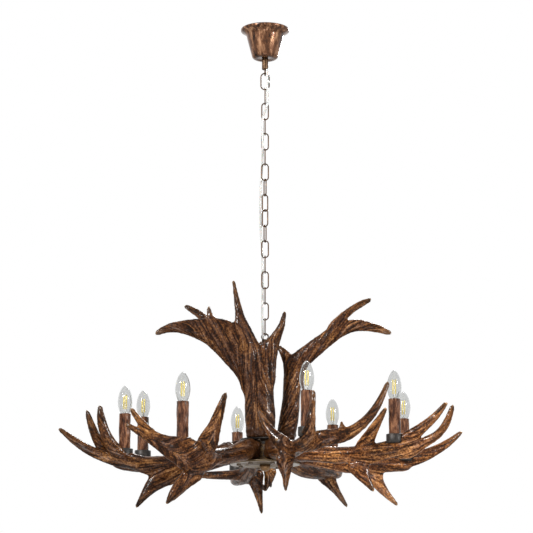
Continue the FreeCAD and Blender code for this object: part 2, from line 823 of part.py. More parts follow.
# The upper antlers stand on the top plate. Places are in the chandelier's frame, up from that plate.
upper_antlers = [
    dict(beam=[(-14, -44, 0), (-17, -50, 90), (-26, -52, 165), (-70, -54, 224), (-135, -58, 256),
               (-205, -62, 264), (-264, -66, 256)],
         widths=[66, 78, 74, 74, 98, 128, 134, 108, 70, 48, 34, 16],
         thicknesses=[40, 46, 40, 36, 34, 30, 26, 22, 20, 18, 15, 9],
         face=(0.05, -1, 0),
         tines=[(0.46, (-78, -48, 390), 58, sideways, 0.4),
                (0.62, (-137, -58, 322), 44, sideways, 0.4),
                (0.32, (48, -48, 314), 56, sideways, 0.35)]),
    dict(beam=[(46, 12, 0), (59, 12, 90), (66, 8, 176), (104, 2, 219), (150, -4, 247), (200, -7, 270),
               (255, -10, 274), (311, -12, 260)],
         widths=[44, 50, 48, 48, 52, 56, 60, 60, 48, 36, 28, 15],
         thicknesses=[38, 44, 38, 36, 36, 34, 30, 28, 26, 24, 20, 11],
         face=(0.05, -1, 0),
         tines=[(0.56, (262, 5, 350), 38, sideways, 0.62),
                (0.32, (20, 16, 250), 44, sideways, 0.3)]),
    dict(beam=[(-24, 48, 0), (-26, 56, 96), (-48, 66, 186), (-108, 74, 256), (-158, 80, 318), (-203, 85, 348)],
         widths=[38, 46, 42, 42, 44, 46, 44, 38, 32, 26, 20, 11],
         thicknesses=[38, 44, 38, 36, 36, 34, 30, 28, 24, 20, 15, 9],
         face=(0.05, -1, 0),
         tines=[(0.40, (-8, 48, 250), 34, sideways, 0.3),
                (0.50, (-62, 160, 240), 34, outward, 0.3)]),
]


def save(shape, name):
    shape.exportStep("parts/" + name + ".step")


if __name__ == "__main__":
    os.makedirs("parts", exist_ok=True)
    save(ceiling_plate(), "ceiling_plate")
    save(canopy(), "canopy")
    save(canopy_nipple(), "canopy_nipple")
    save(plate_nut(), "plate_nut")
    save(terminal_block(), "terminal_block")
    save(canopy_loop(), "canopy_loop")
    for number in range(1, link_count + 1):
        save(chain_link(number), "chain_link_%02d" % number)
    for number in range(1, cord_stretches + 1):
        save(cord_stretch(number), "power_cord_%d" % number)
    save(hub_loop(), "hub_loop")
    save(hub_rod(), "hub_rod")
    save(hub_body(), "hub_body")
    save(hub_top_plate(), "hub_top_plate")
    save(hub_disc(), "hub_disc")
    save(hub_cap(), "hub_cap")
    save(antler_bolts(), "antler_bolts")
    save(Part.Compound(at_each_candle(candle_cup)), "candle_cups")
    save(Part.Compound(at_each_candle(candle_sleeve)), "candle_sleeves")
    save(Part.Compound(at_each_candle(lamp_holder)), "lamp_holders")
    save(Part.Compound(at_each_candle(candle_nipple)), "candle_nipples")
    for number, shape in enumerate(at_each_candle(bulb), 1):
        save(shape, "bulb_%d" % number)
    for number, data in enumerate(lower_antlers, 1):
        save(lower_antler(data), "lower_antler_%d" % number)
    for number, data in enumerate(upper_antlers, 1):
        save(upper_antler(data), "upper_antler_%d" % number)
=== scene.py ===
import json
import math
import bpy
import bmesh
import numpy as np
from mathutils import Vector, Matrix, kdtree, noise


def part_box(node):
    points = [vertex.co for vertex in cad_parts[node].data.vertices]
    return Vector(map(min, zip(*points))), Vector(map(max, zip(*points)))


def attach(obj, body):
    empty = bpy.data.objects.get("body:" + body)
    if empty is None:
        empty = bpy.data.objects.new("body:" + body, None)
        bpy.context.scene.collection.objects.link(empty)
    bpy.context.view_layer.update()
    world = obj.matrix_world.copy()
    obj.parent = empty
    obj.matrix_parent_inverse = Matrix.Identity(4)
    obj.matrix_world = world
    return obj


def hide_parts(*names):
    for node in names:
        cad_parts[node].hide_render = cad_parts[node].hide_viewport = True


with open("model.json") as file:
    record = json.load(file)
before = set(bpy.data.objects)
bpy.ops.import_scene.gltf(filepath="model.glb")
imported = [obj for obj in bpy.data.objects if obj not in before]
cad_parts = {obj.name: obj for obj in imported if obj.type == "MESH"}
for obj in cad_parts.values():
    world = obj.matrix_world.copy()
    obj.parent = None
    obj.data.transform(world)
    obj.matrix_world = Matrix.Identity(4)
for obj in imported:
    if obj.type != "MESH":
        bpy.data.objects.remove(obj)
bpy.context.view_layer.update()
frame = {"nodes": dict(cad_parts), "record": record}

cadNodes = frame["nodes"]
scene = bpy.context.scene

# the photograph's square view, from below and in front
photoView = {"pixels": 533, "focalPixels": 2100.0, "place": (0.0036, -5.1, -1.651), "upDegrees": 11.5}

camData = bpy.data.cameras.new("photoCamera")
camData.sensor_width = 36.0
camData.lens = photoView["focalPixels"] / photoView["pixels"] * camData.sensor_width
camData.clip_end = 60.0
camera = bpy.data.objects.new("photoCamera", camData)
camera.location = photoView["place"]
camera.rotation_euler = (math.radians(90 + photoView["upDegrees"]), 0, 0)
scene.collection.objects.link(camera)
scene.camera = camera


# ---------- small helpers for meshes

def addObject(name, data):
    piece = bpy.data.objects.new(name, data)
    scene.collection.objects.link(piece)
    return piece


def shadeSmooth(mesh):
    mesh.polygons.foreach_set("use_smooth", [True] * len(mesh.polygons))


def finishMesh(name, bm):
    bmesh.ops.remove_doubles(bm, verts=bm.verts, dist=1e-6)
    bmesh.ops.recalc_face_normals(bm, faces=bm.faces)
    mesh = bpy.data.meshes.new(name)
    bm.to_mesh(mesh)
    bm.free()
    shadeSmooth(mesh)
    return addObject(name, mesh)


def bakeModifiers(piece):
    graph = bpy.context.evaluated_depsgraph_get()
    mesh = bpy.data.meshes.new_from_object(piece.evaluated_get(graph))
    old = piece.data
    piece.modifiers.clear()
    piece.data = mesh
    bpy.data.meshes.remove(old)
    shadeSmooth(mesh)


def arcPoints(centre, radius, start, end, count):
    # points of a round stretch of a profile, angles in degrees
    angles = [math.radians(start + (end - start) * k / (count - 1)) for k in range(count)]
    return [(centre[0] + radius * math.cos(a), centre[1] + radius * math.sin(a)) for a in angles]


def spinProfile(bm, profile, steps, centre=(0, 0, 0), closed=True):
    # profile holds (radius, z) pairs in metres
    verts = [bm.verts.new((centre[0] + r, centre[1], centre[2] + z)) for r, z in profile]
    loop = list(zip(verts, verts[1:] + verts[:1])) if closed else list(zip(verts, verts[1:]))
    edges = [bm.edges.new(pair) for pair in loop]
    bmesh.ops.spin(bm, geom=verts + edges, cent=centre, axis=(0, 0, 1), angle=math.tau, steps=steps, use_merge=True)


def turned(name, profile, steps, places=((0, 0, 0),), closed=True):
    bm = bmesh.new()
    for place in places:
        spinProfile(bm, profile, steps, place, closed)
    return finishMesh(name, bm)


def skinRings(bm, rings, closed=False):
    # faces between rings of as many points, and caps at open ends
    pairs = list(zip(rings, rings[1:])) + ([(rings[-1], rings[0])] if closed else [])
    for low, high in pairs:
        for k in range(len(low)):
            n = (k + 1) % len(low)
            bm.faces.new((low[k], low[n], high[n], high[k]))
    if not closed:
        bm.faces.new(rings[0][::-1])
        bm.faces.new(rings[-1])


# ---------- small helpers for materials

def newMaterial(name):
    material = bpy.data.materials.new(name)
    material.use_nodes = True
    return material, material.node_tree, material.node_tree.nodes["Principled BSDF"]


def feed(tree, socket, value):
    # a link where the value is another node's output; a colour gets its alpha
    if isinstance(value, bpy.types.NodeSocket):
        tree.links.new(value, socket)
    elif isinstance(value, (tuple, list)) and len(value) < len(socket.default_value):
        socket.default_value = (*value, 1)
    else:
        socket.default_value = value


def feedAll(tree, node, inputs):
    for key, value in inputs.items():
        feed(tree, node.inputs[key], value)


def addNode(tree, kind, inputs=(), **settings):
    node = tree.nodes.new("ShaderNode" + kind)
    for key, value in settings.items():
        setattr(node, key, value)
    feedAll(tree, node, dict(inputs))
    return node


def mathNode(tree, operation, *values, clamp=False):
    return addNode(tree, "Math", enumerate(values), operation=operation, use_clamp=clamp).outputs[0]


def attribute(tree, name, output="Fac"):
    return addNode(tree, "Attribute", attribute_name=name).outputs[output]


def objectPlace(tree, upScale=1.0):
    # Object coordinates, so that a small upScale draws a pattern out upwards
    place = addNode(tree, "TexCoord").outputs["Object"]
    if upScale == 1.0:
        return place
    return addNode(tree, "Mapping", {"Vector": place, "Scale": (1.0, 1.0, upScale)}).outputs[0]


def colourRamp(tree, factor, stops):
    ramp = addNode(tree, "ValToRGB", {"Fac": factor})
    while len(ramp.color_ramp.elements) < len(stops):
        ramp.color_ramp.elements.new(0.5)
    for element, (place, colour) in zip(ramp.color_ramp.elements, stops):
        element.position = place
        element.color = (*colour, 1)
    return ramp.outputs["Color"]


def mixColour(tree, factor, first, second, mode="MIX"):
    return addNode(tree, "Mix", {0: factor, 6: first, 7: second}, data_type="RGBA", blend_type=mode).outputs[2]


def rangeOf(tree, value, low, high, least=0.0, most=1.0):
    return addNode(tree, "MapRange", {"Value": value, "From Min": low, "From Max": high,
                                      "To Min": least, "To Max": most}).outputs["Result"]


def weighted(tree, *pairs):
    # the sum of values, each times its weight
    total = 0.0
    for value, weight in pairs:
        total = mathNode(tree, "MULTIPLY_ADD", value, weight, total)
    return total


def bumpFrom(tree, shader, height, strength, distance):
    bump = addNode(tree, "Bump", {"Height": height, "Strength": strength, "Distance": distance})
    feed(tree, shader.inputs["Normal"], bump.outputs["Normal"])


def useMaterial(piece, material):
    piece.data.materials.clear()
    piece.data.materials.append(material)


def dress(piece, material, node, body):
    # the finish, the node that the piece stands for, if any, and the body that it rides on
    useMaterial(piece, material)
    if node:
        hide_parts(node)
    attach(piece, body)


def newGroup(name, values, results):
    # a shared effect, from a place and some values to factors
    tree = bpy.data.node_groups.new(name, "ShaderNodeTree")
    tree.interface.new_socket("Place", in_out="INPUT", socket_type="NodeSocketVector")
    for key, value in values.items():
        tree.interface.new_socket(key, in_out="INPUT", socket_type="NodeSocketFloat").default_value = value
    for key in results:
        tree.interface.new_socket(key, in_out="OUTPUT", socket_type="NodeSocketFloat")
    return tree, tree.nodes.new("NodeGroupInput").outputs, tree.nodes.new("NodeGroupOutput")


# coarse and fine grain: long where the place hardly changes along the fibre
def buildGrainGroup():
    tree, given, end = newGroup("longGrain", {"Scale": 160.0, "Contrast": 1.0}, ("Streaks", "Height"))
    finer = mathNode(tree, "MULTIPLY", given["Scale"], 3.4)
    coarse, fine = [addNode(tree, "TexNoise", {"Vector": given["Place"], "Scale": scale, "Detail": detail,
                                               "Roughness": roughness}).outputs["Fac"]
                    for scale, detail, roughness in ((given["Scale"], 4.0, 0.6), (finer, 5.0, 0.7))]
    blend = mathNode(tree, "MULTIPLY_ADD", fine, 0.45, coarse)
    centred = mathNode(tree, "SUBTRACT", blend, 0.725)
    streaks = mathNode(tree, "MULTIPLY_ADD", centred, given["Contrast"], 0.5, clamp=True)
    feedAll(tree, end, {"Streaks": streaks, "Height": blend})
    return tree


# blotches with a soft edge, as a mask
def buildPatchGroup():
    tree, given, end = newGroup("rubbedPatches", {"Scale": 30.0, "Edge": 0.55}, ("Mask",))
    cloud = addNode(tree, "TexNoise", {"Vector": given["Place"], "Scale": given["Scale"], "Detail": 6.0,
                                       "Roughness": 0.65, "Distortion": 0.3}).outputs["Fac"]
    level = mathNode(tree, "SUBTRACT", cloud, given["Edge"])
    feed(tree, end.inputs["Mask"], mathNode(tree, "MULTIPLY", level, 6.0, clamp=True))
    return tree


grainGroup = buildGrainGroup()
patchGroup = buildPatchGroup()


def placeGroup(tree, group, place, **values):
    node = addNode(tree, "Group", node_tree=group)
    feedAll(tree, node, {"Place": place, **values})
    return node.outputs


def streakedPaint(name, upScale, scale, contrast, stops, inputs, bump, crestColour=None):
    # streaks through a row of colours, and one more on the crests where it is given
    material, tree, shader = newMaterial(name)
    grain = placeGroup(tree, grainGroup, objectPlace(tree, upScale), Scale=scale, Contrast=contrast)
    colour = colourRamp(tree, grain["Streaks"], stops)
    if crestColour:
        colour = mixColour(tree, rangeOf(tree, attribute(tree, "crest"), 0.5, 0.85, 0.0, 0.6), colour, crestColour)
    feedAll(tree, shader, {"Base Color": colour, **inputs})
    bumpFrom(tree, shader, grain["Height"], *bump)
    return material


def paintedMetal(name, base, rubbed, roughness, metallic, scale=90.0, edge=0.56, coat=0.0):
    material, tree, shader = newMaterial(name)
    place = objectPlace(tree)
    mask = placeGroup(tree, patchGroup, place, Scale=scale, Edge=edge)["Mask"]
    grain = placeGroup(tree, grainGroup, place, Scale=scale * 4, Contrast=1.2)
    feedAll(tree, shader, {
        "Base Color": mixColour(tree, mask, base, rubbed),
        "Roughness": rangeOf(tree, grain["Streaks"], 0.0, 1.0, roughness * 0.8, roughness * 1.35),
        "Metallic": metallic, "Specular IOR Level": 0.25, "Coat Weight": coat})
    bumpFrom(tree, shader, grain["Height"], 0.25, 0.0004)
    return material


def plainFinish(name, colour, roughness, metallic=0.0, glow=0.0):
    material, tree, shader = newMaterial(name)
    mask = placeGroup(tree, patchGroup, objectPlace(tree), Scale=180.0, Edge=0.5)["Mask"]
    shaded = mixColour(tree, mask, colour, [c * 0.82 for c in colour])
    feedAll(tree, shader, {"Base Color": shaded, "Roughness": roughness, "Metallic": metallic})
    if glow:
        feedAll(tree, shader, {"Emission Color": shaded, "Emission Strength": glow})
    return material


# ---------- power cord, woven down the chain

cordLook = {
    "diameter": 0.0055, "jacket": (0.46, 0.455, 0.43), "inner": (0.34, 0.335, 0.31),
    "route": [
        (0.0054, -0.0054, -0.106), (0.006, -0.0063, -0.128), (0.0062, -0.0059, -0.162), (0.0072, -0.0057, -0.196),
        (-0.007, -0.0059, -0.234), (-0.0062, -0.0063, -0.272), (-0.0058, -0.0076, -0.312), (-0.007, 0.0078, -0.353),
        (-0.010, 0.0086, -0.392), (-0.0116, 0.0082, -0.432), (-0.0119, 0.0085, -0.472), (-0.0114, 0.0083, -0.512),
        (-0.0086, 0.0074, -0.552), (-0.0064, 0.0064, -0.592), (-0.0062, 0.006, -0.630), (-0.006, 0.0076, -0.667),
        (-0.0066, -0.0074, -0.706), (-0.0074, -0.0058, -0.740), (-0.0062, -0.0062, -0.770),
        (-0.0052, -0.0057, -0.7968),
    ],
    "lengths": [0.1488, 0.1216, 0.1596, 0.1166, 0.1503],
}


def cordMaterial():
    material, tree, shader = newMaterial("clearCordJacket")
    mask = placeGroup(tree, patchGroup, objectPlace(tree), Scale=60.0, Edge=0.5)["Mask"]
    colour = mixColour(tree, mask, cordLook["jacket"], cordLook["inner"])
    feedAll(tree, shader, {"Base Color": colour, "Roughness": 0.22, "Coat Weight": 0.4,
                           "Subsurface Weight": 0.15, "Subsurface Scale": 0.002})
    return material


def makeCord():
    route = [Vector(p) for p in cordLook["route"]]
    pieces, lastRun = len(cordLook["lengths"]), len(route) - 2
    material = cordMaterial()
    for k, length in enumerate(cordLook["lengths"]):
        first, last = round(lastRun * k / pieces), round(lastRun * (k + 1) / pieces)
        start = route[0] if k == 0 else (route[first] + route[first + 1]) / 2
        end = route[-1] if k == pieces - 1 else (route[last] + route[last + 1]) / 2
        points = [start] + route[first + 1:last + 1] + [end]
        curve = bpy.data.curves.new("cordStretch%d" % (k + 1), "CURVE")
        curve.dimensions = "3D"
        spline = curve.splines.new("NURBS")
        spline.points.add(len(points) - 1)
        for point, place in zip(spline.points, points):
            point.co = (*place, 1)
        spline.order_u = 3
        spline.use_endpoint_u = True
        spline.resolution_u = 10
        curve.bevel_depth = cordLook["diameter"] / 2
        curve.bevel_resolution = 4
        piece = addObject("cordStretch%d" % (k + 1), curve)
        node = "power_cord_%d" % (k + 1)
        body = [name for name, members in frame["record"]["behaviour"]["bodies"].items() if node in members][0]
        dress(piece, material, node, body)


makeCord()
print("cord done")


# ---------- sizes and places of the candles

candleLook = {
    "cup": 0.0205, "cupHeight": 0.022, "cupWall": 0.0016, "hole": 0.0044, "sleeve": 0.0145, "bore": 0.012,
    "sleeveLength": 0.104, "lift": 0.0003, "bulb": 0.0175, "glassHeight": 0.096, "inSleeve": 0.027, "neck": 0.0065,
    "cap": 0.007, "capHeight": 0.024, "glassWall": 0.001, "atSleeve": 0.0108, "cupRound": 0.004, "cupLip": 0.0006,
    "sleeveRings": 60, "barkDepth": 0.0011, "barkScale": (130, 130, 34), "barkShift": 5, "barkFine": 2.1,
    "barkLevel": 0.45, "barkRange": (-1.2, 0.15), "widest": 0.40, "shoulder": 0.62, "flameRings": 32,
    "foot": ((1.0, 0), (1.0, 0.010), (1.2, 0.018)), "capTip": ((0, 0), (0.003, 0), (0.0035, 0.003)),
    "threadsFrom": 0.006, "pitch": 0.0006, "threadPoints": 25, "capEdge": 0.0005,
    "threads": 4, "thread": 0.0012, "threadRing": 0.0042, "threadLength": 0.034, "threadMiddle": 0.056,
    "threadTurn": 0.35,
    "stem": ((0, 0.0002), (0.0048, 0.0002), (0.0044, 0.020), (0.0026, 0.034), (0.0012, 0.040), (0, 0.041)),
    "glass": (0.76, 0.765, 0.76), "glassEdgeShade": (0.33, 0.335, 0.34),
    "bark": (0.078, 0.029, 0.0145), "barkDark": (0.018, 0.0075, 0.0045), "barkPale": (0.25, 0.115, 0.058),
    "glow": (0.93, 0.76, 0.24), "brass": (0.78, 0.60, 0.30), "ceramic": (0.82, 0.81, 0.78),
}


def candleAxes():
    # each candle's axis and seat, read from its bulb
    look = candleLook
    under = look["glassHeight"] + look["sleeveLength"] - look["inSleeve"] + look["cupWall"] + look["lift"]
    boxes = [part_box("bulb_%d" % number) for number in range(1, 9)]
    return [Vector(((low[0] + high[0]) / 2, (low[1] + high[1]) / 2, high[2] - under)) for low, high in boxes]


candlePlaces = candleAxes()


# ---------- antlers

antlerLook = {
    "ringStep": 0.006, "fewestRings": 10, "spanSteps": 12, "limbSteps": 24, "sides": 20, "blunt": 0.6,
    "leastTip": 0.004, "voxel": 0.003, "smoothRounds": 16, "coreRounds": 170, "cutEnd": 0.015,
    "wayRounds": 120, "flowRounds": 8, "flowStep": 0.003, "rim": 0.0016, "rimStart": 0.6, "rimRounds": 14,
    "tipReach": 0.03, "grains": ((5, 4), (1, 3)), "flatTop": 1.7, "grooveMiddle": 0.8, "leastDepth": 0.3,
    "groove": 0.0007, "fineGroove": 0.0004, "upperGroove": 1.7, "thin": 0.003, "thickness": 0.010,
    "knob": 0.0045, "knobLift": 0.12, "knobScale": 95, "burrReach": 0.024, "burrStart": 0.03,
    "burrFull": 1.4, "burrCalm": 0.6, "crest": (0.42, 0.10), "streak": (0.20, 0.06), "bodyGap": 0.0003,
    "seatEdge": 0.0015, "drift": 0.10, "seedShift": (0.37, 0.11, 0.23), "patchTint": (0.50, 0.43, 0.40),
    "toneShares": (0.38, 0.22, 0.14, 0.26), "toneStops": (0.20, 0.38, 0.51, 0.66, 0.86),
    # rubbed rims, painted shade in the hollows, flecks, smoked burrs and tips, and worn tip ends
    "wearAndShade": (("rim", (0.0, 1.0, 0.0, 0.6), "tan"), ("crest", (0.36, 0.14), "black"),
             ("fleck", (0.0, 1.0, 0.0, 0.35), "dark"), ("burr", (0.0, 1.0, 0.0, 0.8), "dark"),
             ("tip", (0.1, 0.8, 0.0, 0.65), "black"), ("tip", (0.82, 1.0, 0.0, 0.5), "pale")),
    "roughness": (0.0, 1.0, 0.24, 0.48), "coat": (0.35, 0.85, 0.06, 0.7), "bump": (0.8, 0.0014),
    "finishes": (("darkAntler", 1.0, 1.0), ("warmAntler", 1.35, 2.0), ("paleAntler", 2.4, 3.0)),
    "black": (0.0065, 0.0032, 0.0018), "dark": (0.026, 0.0095, 0.0036), "brown": (0.080, 0.030, 0.0092),
    "tan": (0.215, 0.095, 0.028), "pale": (0.42, 0.24, 0.11),
    "paleOnes": ("lower_antler_3", "lower_antler_4"),
    "warmOnes": ("upper_antler_2", "lower_antler_1", "lower_antler_2"),
}
mm = 0.001
# widths and heights along a limb, against its own size, from root to tip
beamShape = {"burr": 42, "burrHeight": 50, "burrLength": 34, "thick": 40, "dip": 200,
             "seatToAxis": 17, "endToAxis": 11, "pastSeat": 16,
             "widths": (0.7, 1.0, 0.85, 0.85, 0.95, 1.1, 1.2, 1.12, 0.95, 0.78, 0.62, 0.44),
             "heights": (0.9, 1.0, 0.95, 1.0, 1.06, 1.08, 1.04, 0.96, 0.82, 0.68, 0.54, 0.42),
             "seatWidths": (0.7, 1.0, 0.85, 0.85, 0.92, 1.0, 1.0),
             "seatHeights": (0.9, 1.0, 1.0, 1.0, 0.92, 0.78, 0.62)}
tineShape = {"widths": (2.1, 1.45, 1.12, 1.0, 0.93, 0.84, 0.74, 0.56),
             "heights": (1.7, 1.2, 0.98, 0.9, 0.84, 0.78, 0.7, 0.56), "bend": (0.6, 0.6, 0.3)}
bladeShape = {"share": 0.9, "least": 14, "slope": 0.2, "beyondTip": 0.002, "rootShare": 0.22, "rootLeast": 0.35}

# Each lower antler: its side of the light, how stout it is, and its limbs. A seen limb has places in the photograph
# as (right, down, how far back from the middle in mm) and its widths in mm. The others are in the antler's own frame,
# in mm as (outward, sideways, up from the disc): the beam beyond the candle, and tines as (share of the beam, tip,
# width, facing).
lowerAntlers = [
    {"azimuth": -32, "seen": [
        ([(222, 458, -245), (206, 459, -300), (193, 457, -325), (181, 450, -335), (168, 443.5, -342),
          (155, 436, -346), (142, 423.5, -346), (131, 409, -342)], (42, 58, 78, 70, 38, 23, 19, 11)),
        ([(186, 461, -325), (173, 454, -335), (160, 446, -340), (146, 436.5, -344), (136, 430, -342),
          (126, 424, -338)], (56, 36, 24, 19, 16, 11)),
        ([(202, 455, -300), (208.5, 441, -310), (214.5, 426, -318), (220, 410, -324), (225.7, 392.5, -326)],
          (84, 50, 32, 23, 11)),
        ([(203, 466, -290), (192, 475, -310), (181, 485, -322), (173, 494.5, -330), (166.5, 504, -334)],
          (52, 44, 35, 23, 8)),
        ([(192, 474, -300), (182, 488, -290), (172, 500.5, -286)], (44, 22, 8))]},
    {"azimuth": 16, "seen": [
        ([(287, 450, -262), (312, 441, -338), (330, 437, -354), (344, 435, -352), (357, 428, -345),
          (369.5, 416.5, -336), (379.5, 401.5, -326), (388, 382.5, -315)], (40, 46, 38, 34, 26, 22, 18, 11)),
        ([(342, 434, -352), (342, 427, -352), (341.5, 421.5, -352)], (26, 14, 7)),
        ([(305, 443, -345), (309.5, 428, -364), (312, 410, -366), (314, 391, -366)], (48, 27, 17, 11)),
        ([(292, 450, -262), (280, 441, -250), (269, 429, -236), (263, 419, -226), (258.5, 411, -218)],
          (54, 36, 22, 16, 9)),
        ([(286, 448, -256), (285, 463, -256), (286, 476, -254), (285.5, 491, -252)], (60, 42, 20, 8))]},
    {"azimuth": 62, "seen": [
        ([(345, 458, -105), (360, 457, -118), (376, 453, -140), (393, 447.5, -160), (409, 437.5, -175),
          (424.5, 426, -190), (436.5, 415, -200), (446.5, 402.5, -208)], (46, 50, 48, 43, 36, 25, 19, 11)),
        ([(384, 452, -150), (408, 449.5, -158), (425, 442, -170), (438, 434, -182), (446.8, 422, -192),
          (453, 405, -198)], (46, 44, 26, 20, 19, 11)),
        ([(359, 459, -115), (365, 445, -134), (372, 432, -152), (379, 420, -168), (386, 408, -180)],
          (66, 40, 28, 19, 10)),
        ([(355, 458, -115), (361, 471, -118), (368, 483, -122), (374, 491, -126)], (76, 44, 20, 9))]},
    {"azimuth": 107, "tines": [(0.7, (400, 74, 40), 20, (1, 0, 0))], "seen": [
        ([(368, 465, 74), (385, 464, 86), (402, 461, 102), (420, 457, 116), (437, 449.5, 128), (450, 441.5, 138),
          (461.5, 432, 148)], (46, 48, 42, 34, 26, 19, 11)),
        ([(371, 466, 84), (377.5, 482, 92), (386.5, 494, 98), (397.5, 505, 102)], (70, 33, 20, 9))]},
    {"azimuth": 152, "girth": 1.05, "beyond": [(420, 12, 12), (446, 20, 20), (466, 24, 36)],
     "tines": [(0.5, (330, 60, 50), 20, (1, 0, 0))], "seen": [
        ([(318, 464, 300), (327.5, 478, 322), (336, 490.5, 332), (347, 506.5, 340)], (60, 44, 21, 9))]},
    {"azimuth": 192, "girth": 0.95, "beyond": [(395, -10, -4), (425, -18, 12), (440, -20, 34)],
     "tines": [(0.46, (300, 112, -2), 26, (0, 0, 1)), (0.6, (330, -74, -34), 20, (1, 0, 0))], "seen": [
        ([(252, 466, 240), (256.5, 485, 250), (259.3, 499, 256), (261.8, 513.5, 258)], (74, 34, 18, 8)),
        ([(270, 464, 262), (269.5, 477, 270), (265, 491, 276)], (46, 28, 8)),
        ([(269, 476, 300), (271, 487.5, 318)], (18, 8))]},
    {"azimuth": 244, "girth": 1.1, "beyond": [(380, 0, 10), (405, 6, 14), (425, 10, 26)],
     "tines": [(0.6, (360, -60, 30), 20, (1, 0, 0)), (0.5, (300, 70, 10), 20, (1, 0, 0))]},
    {"azimuth": 285, "seen": [
        ([(176, 468, -56), (155, 467.5, -72), (138, 463, -90), (123, 456.5, -104), (112, 446, -114),
          (105, 433, -120), (101, 418, -124), (100, 405.5, -124)], (46, 46, 40, 36, 32, 27, 22, 11)),
        ([(138, 464, -84), (120, 461.5, -92), (105, 457, -102), (90, 450.5, -112), (75, 441, -122),
          (59, 428.5, -130)], (32, 30, 27, 25, 20, 11)),
        ([(108, 456, -96), (98, 441, -96), (91.7, 426, -96), (86.8, 410.5, -96)], (34, 25, 20, 11)),
        ([(198, 464, -44), (181, 469, -56), (166, 473.5, -66), (152, 486, -74), (143, 497.5, -78),
          (136, 507.5, -82)], (40, 54, 66, 36, 19, 9))]},
]

# The upper antlers in the light's own frame, up from the top plate: the stem, then limbs as above.
upperAntlers = [
    {"beam": [(-10, -44, 0), (-12, -48, 60), (-15, -50, 110), (-21, -52, 190)], "widths": (66, 76, 72, 74, 80),
     "heights": (44, 46, 40, 38, 34), "seen": [
        ([(257, 424, -50), (257.5, 396, -52), (253, 372, -54), (239, 350, -56), (219, 334.5, -58),
          (197, 328.5, -60), (178, 327, -62), (166, 329, -64), (156.5, 333.5, -66)],
          (60, 74, 84, 98, 84, 50, 29, 21, 11)),
        ([(255, 380, -53), (247, 356, -54), (242.5, 334, -53), (239.5, 315, -52), (236.3, 297, -50),
          (233.4, 281, -48)], (50, 88, 54, 22, 14, 8)),
        ([(214, 338, -58), (212, 326, -58), (210, 316, -58), (208.7, 307, -58)], (40, 60, 17, 6)),
        ([(257, 412, -50), (261, 376, -52), (268, 352, -52), (276, 337, -50), (281.6, 325, -50),
          (284.7, 311.5, -48)], (60, 76, 50, 27, 17, 9))]},
    {"beam": [(50, 12, 0), (61, 12, 70), (66, 10, 130), (68, 8, 205)], "widths": (44, 48, 43, 44, 46),
     "heights": (40, 42, 38, 36, 34), "seen": [
        ([(291, 404, 9), (292, 376, 8), (296, 364.5, 6), (309, 353, 2), (324, 341, -2), (339, 330.5, -5),
          (355, 325.5, -8), (373, 327.5, -11), (390.5, 333.5, -14)], (40, 46, 50, 46, 41, 38, 32, 23, 12)),
        ([(326, 338, -2), (338, 322.5, 0), (350, 311, 2), (362, 303.5, 4), (371, 299.5, 6)], (40, 27, 19, 17, 10)),
        ([(293, 380, 8), (292, 367, 9), (286, 356, 12), (278.5, 346, 16)], (30, 46, 27, 10))]},
    {"beam": [(-24, 48, 0), (-26, 56, 96), (-48, 66, 186), (-108, 74, 256), (-158, 80, 318), (-203, 85, 348)],
     "widths": (38, 46, 42, 42, 44, 46, 44, 36, 30, 25, 20, 12),
     "heights": (38, 44, 40, 38, 36, 34, 30, 28, 24, 20, 16, 11),
     "tines": [(0.4, (-8, 48, 250), 20, (0, 1, 0)), (0.5, (-62, 160, 240), 20, (1, 0, 0))]},
]
antlerRandom = np.random.default_rng(7)


def readArray(items, key, width, kind=float):
    values = np.empty(len(items) * width, dtype=kind)
    items.foreach_get(key, values)
    return values.reshape(-1, width)


def meshArrays(mesh):
    return readArray(mesh.vertices, "co", 3), readArray(mesh.edges, "vertices", 2, np.int64)


def store(mesh, name, values):
    # a number or a vector for every point
    kind, key = ("FLOAT_VECTOR", "vector") if values.ndim == 2 else ("FLOAT", "value")
    layer = mesh.attributes.new(name, kind, "POINT")
    layer.data.foreach_set(key, np.ascontiguousarray(values, dtype=np.float32).ravel())


def movePoints(mesh, co):
    mesh.vertices.foreach_set("co", co.ravel())
    mesh.update()


def bothWays(edges):
    return np.concatenate([edges[:, 0], edges[:, 1]]), np.concatenate([edges[:, 1], edges[:, 0]])


def relax(values, edges, rounds, share=0.5):
    ends, others = bothWays(edges)
    degree = np.maximum(np.bincount(ends, minlength=len(values)), 1)[:, None]
    flat = values.ndim == 1
    values = values[:, None] if flat else values
    for _ in range(rounds):
        sums = [np.bincount(ends, weights=column[others], minlength=len(values)) for column in values.T]
        values = values + share * (np.stack(sums, 1) / degree - values)
    return values[:, 0] if flat else values


def unit(vectors):
    return vectors / np.maximum(np.linalg.norm(vectors, axis=1), 1e-12)[:, None]


def fromPhoto(right, down, back):
    # the place in space of a point of the photograph, when how far back it lies is known
    tilt = math.radians(photoView["upDegrees"])
    x, y = [(v - photoView["pixels"] / 2) / photoView["focalPixels"] for v in (right, down)]
    ray = Vector((x, math.cos(tilt) + y * math.sin(tilt), math.sin(tilt) - y * math.cos(tilt)))
    eye = Vector(photoView["place"])
    return eye + ray * ((back * mm - eye.y) / ray.y)


def runOf(path):
    return np.concatenate([[0], np.cumsum(np.linalg.norm(np.diff(path, axis=0), axis=1))])


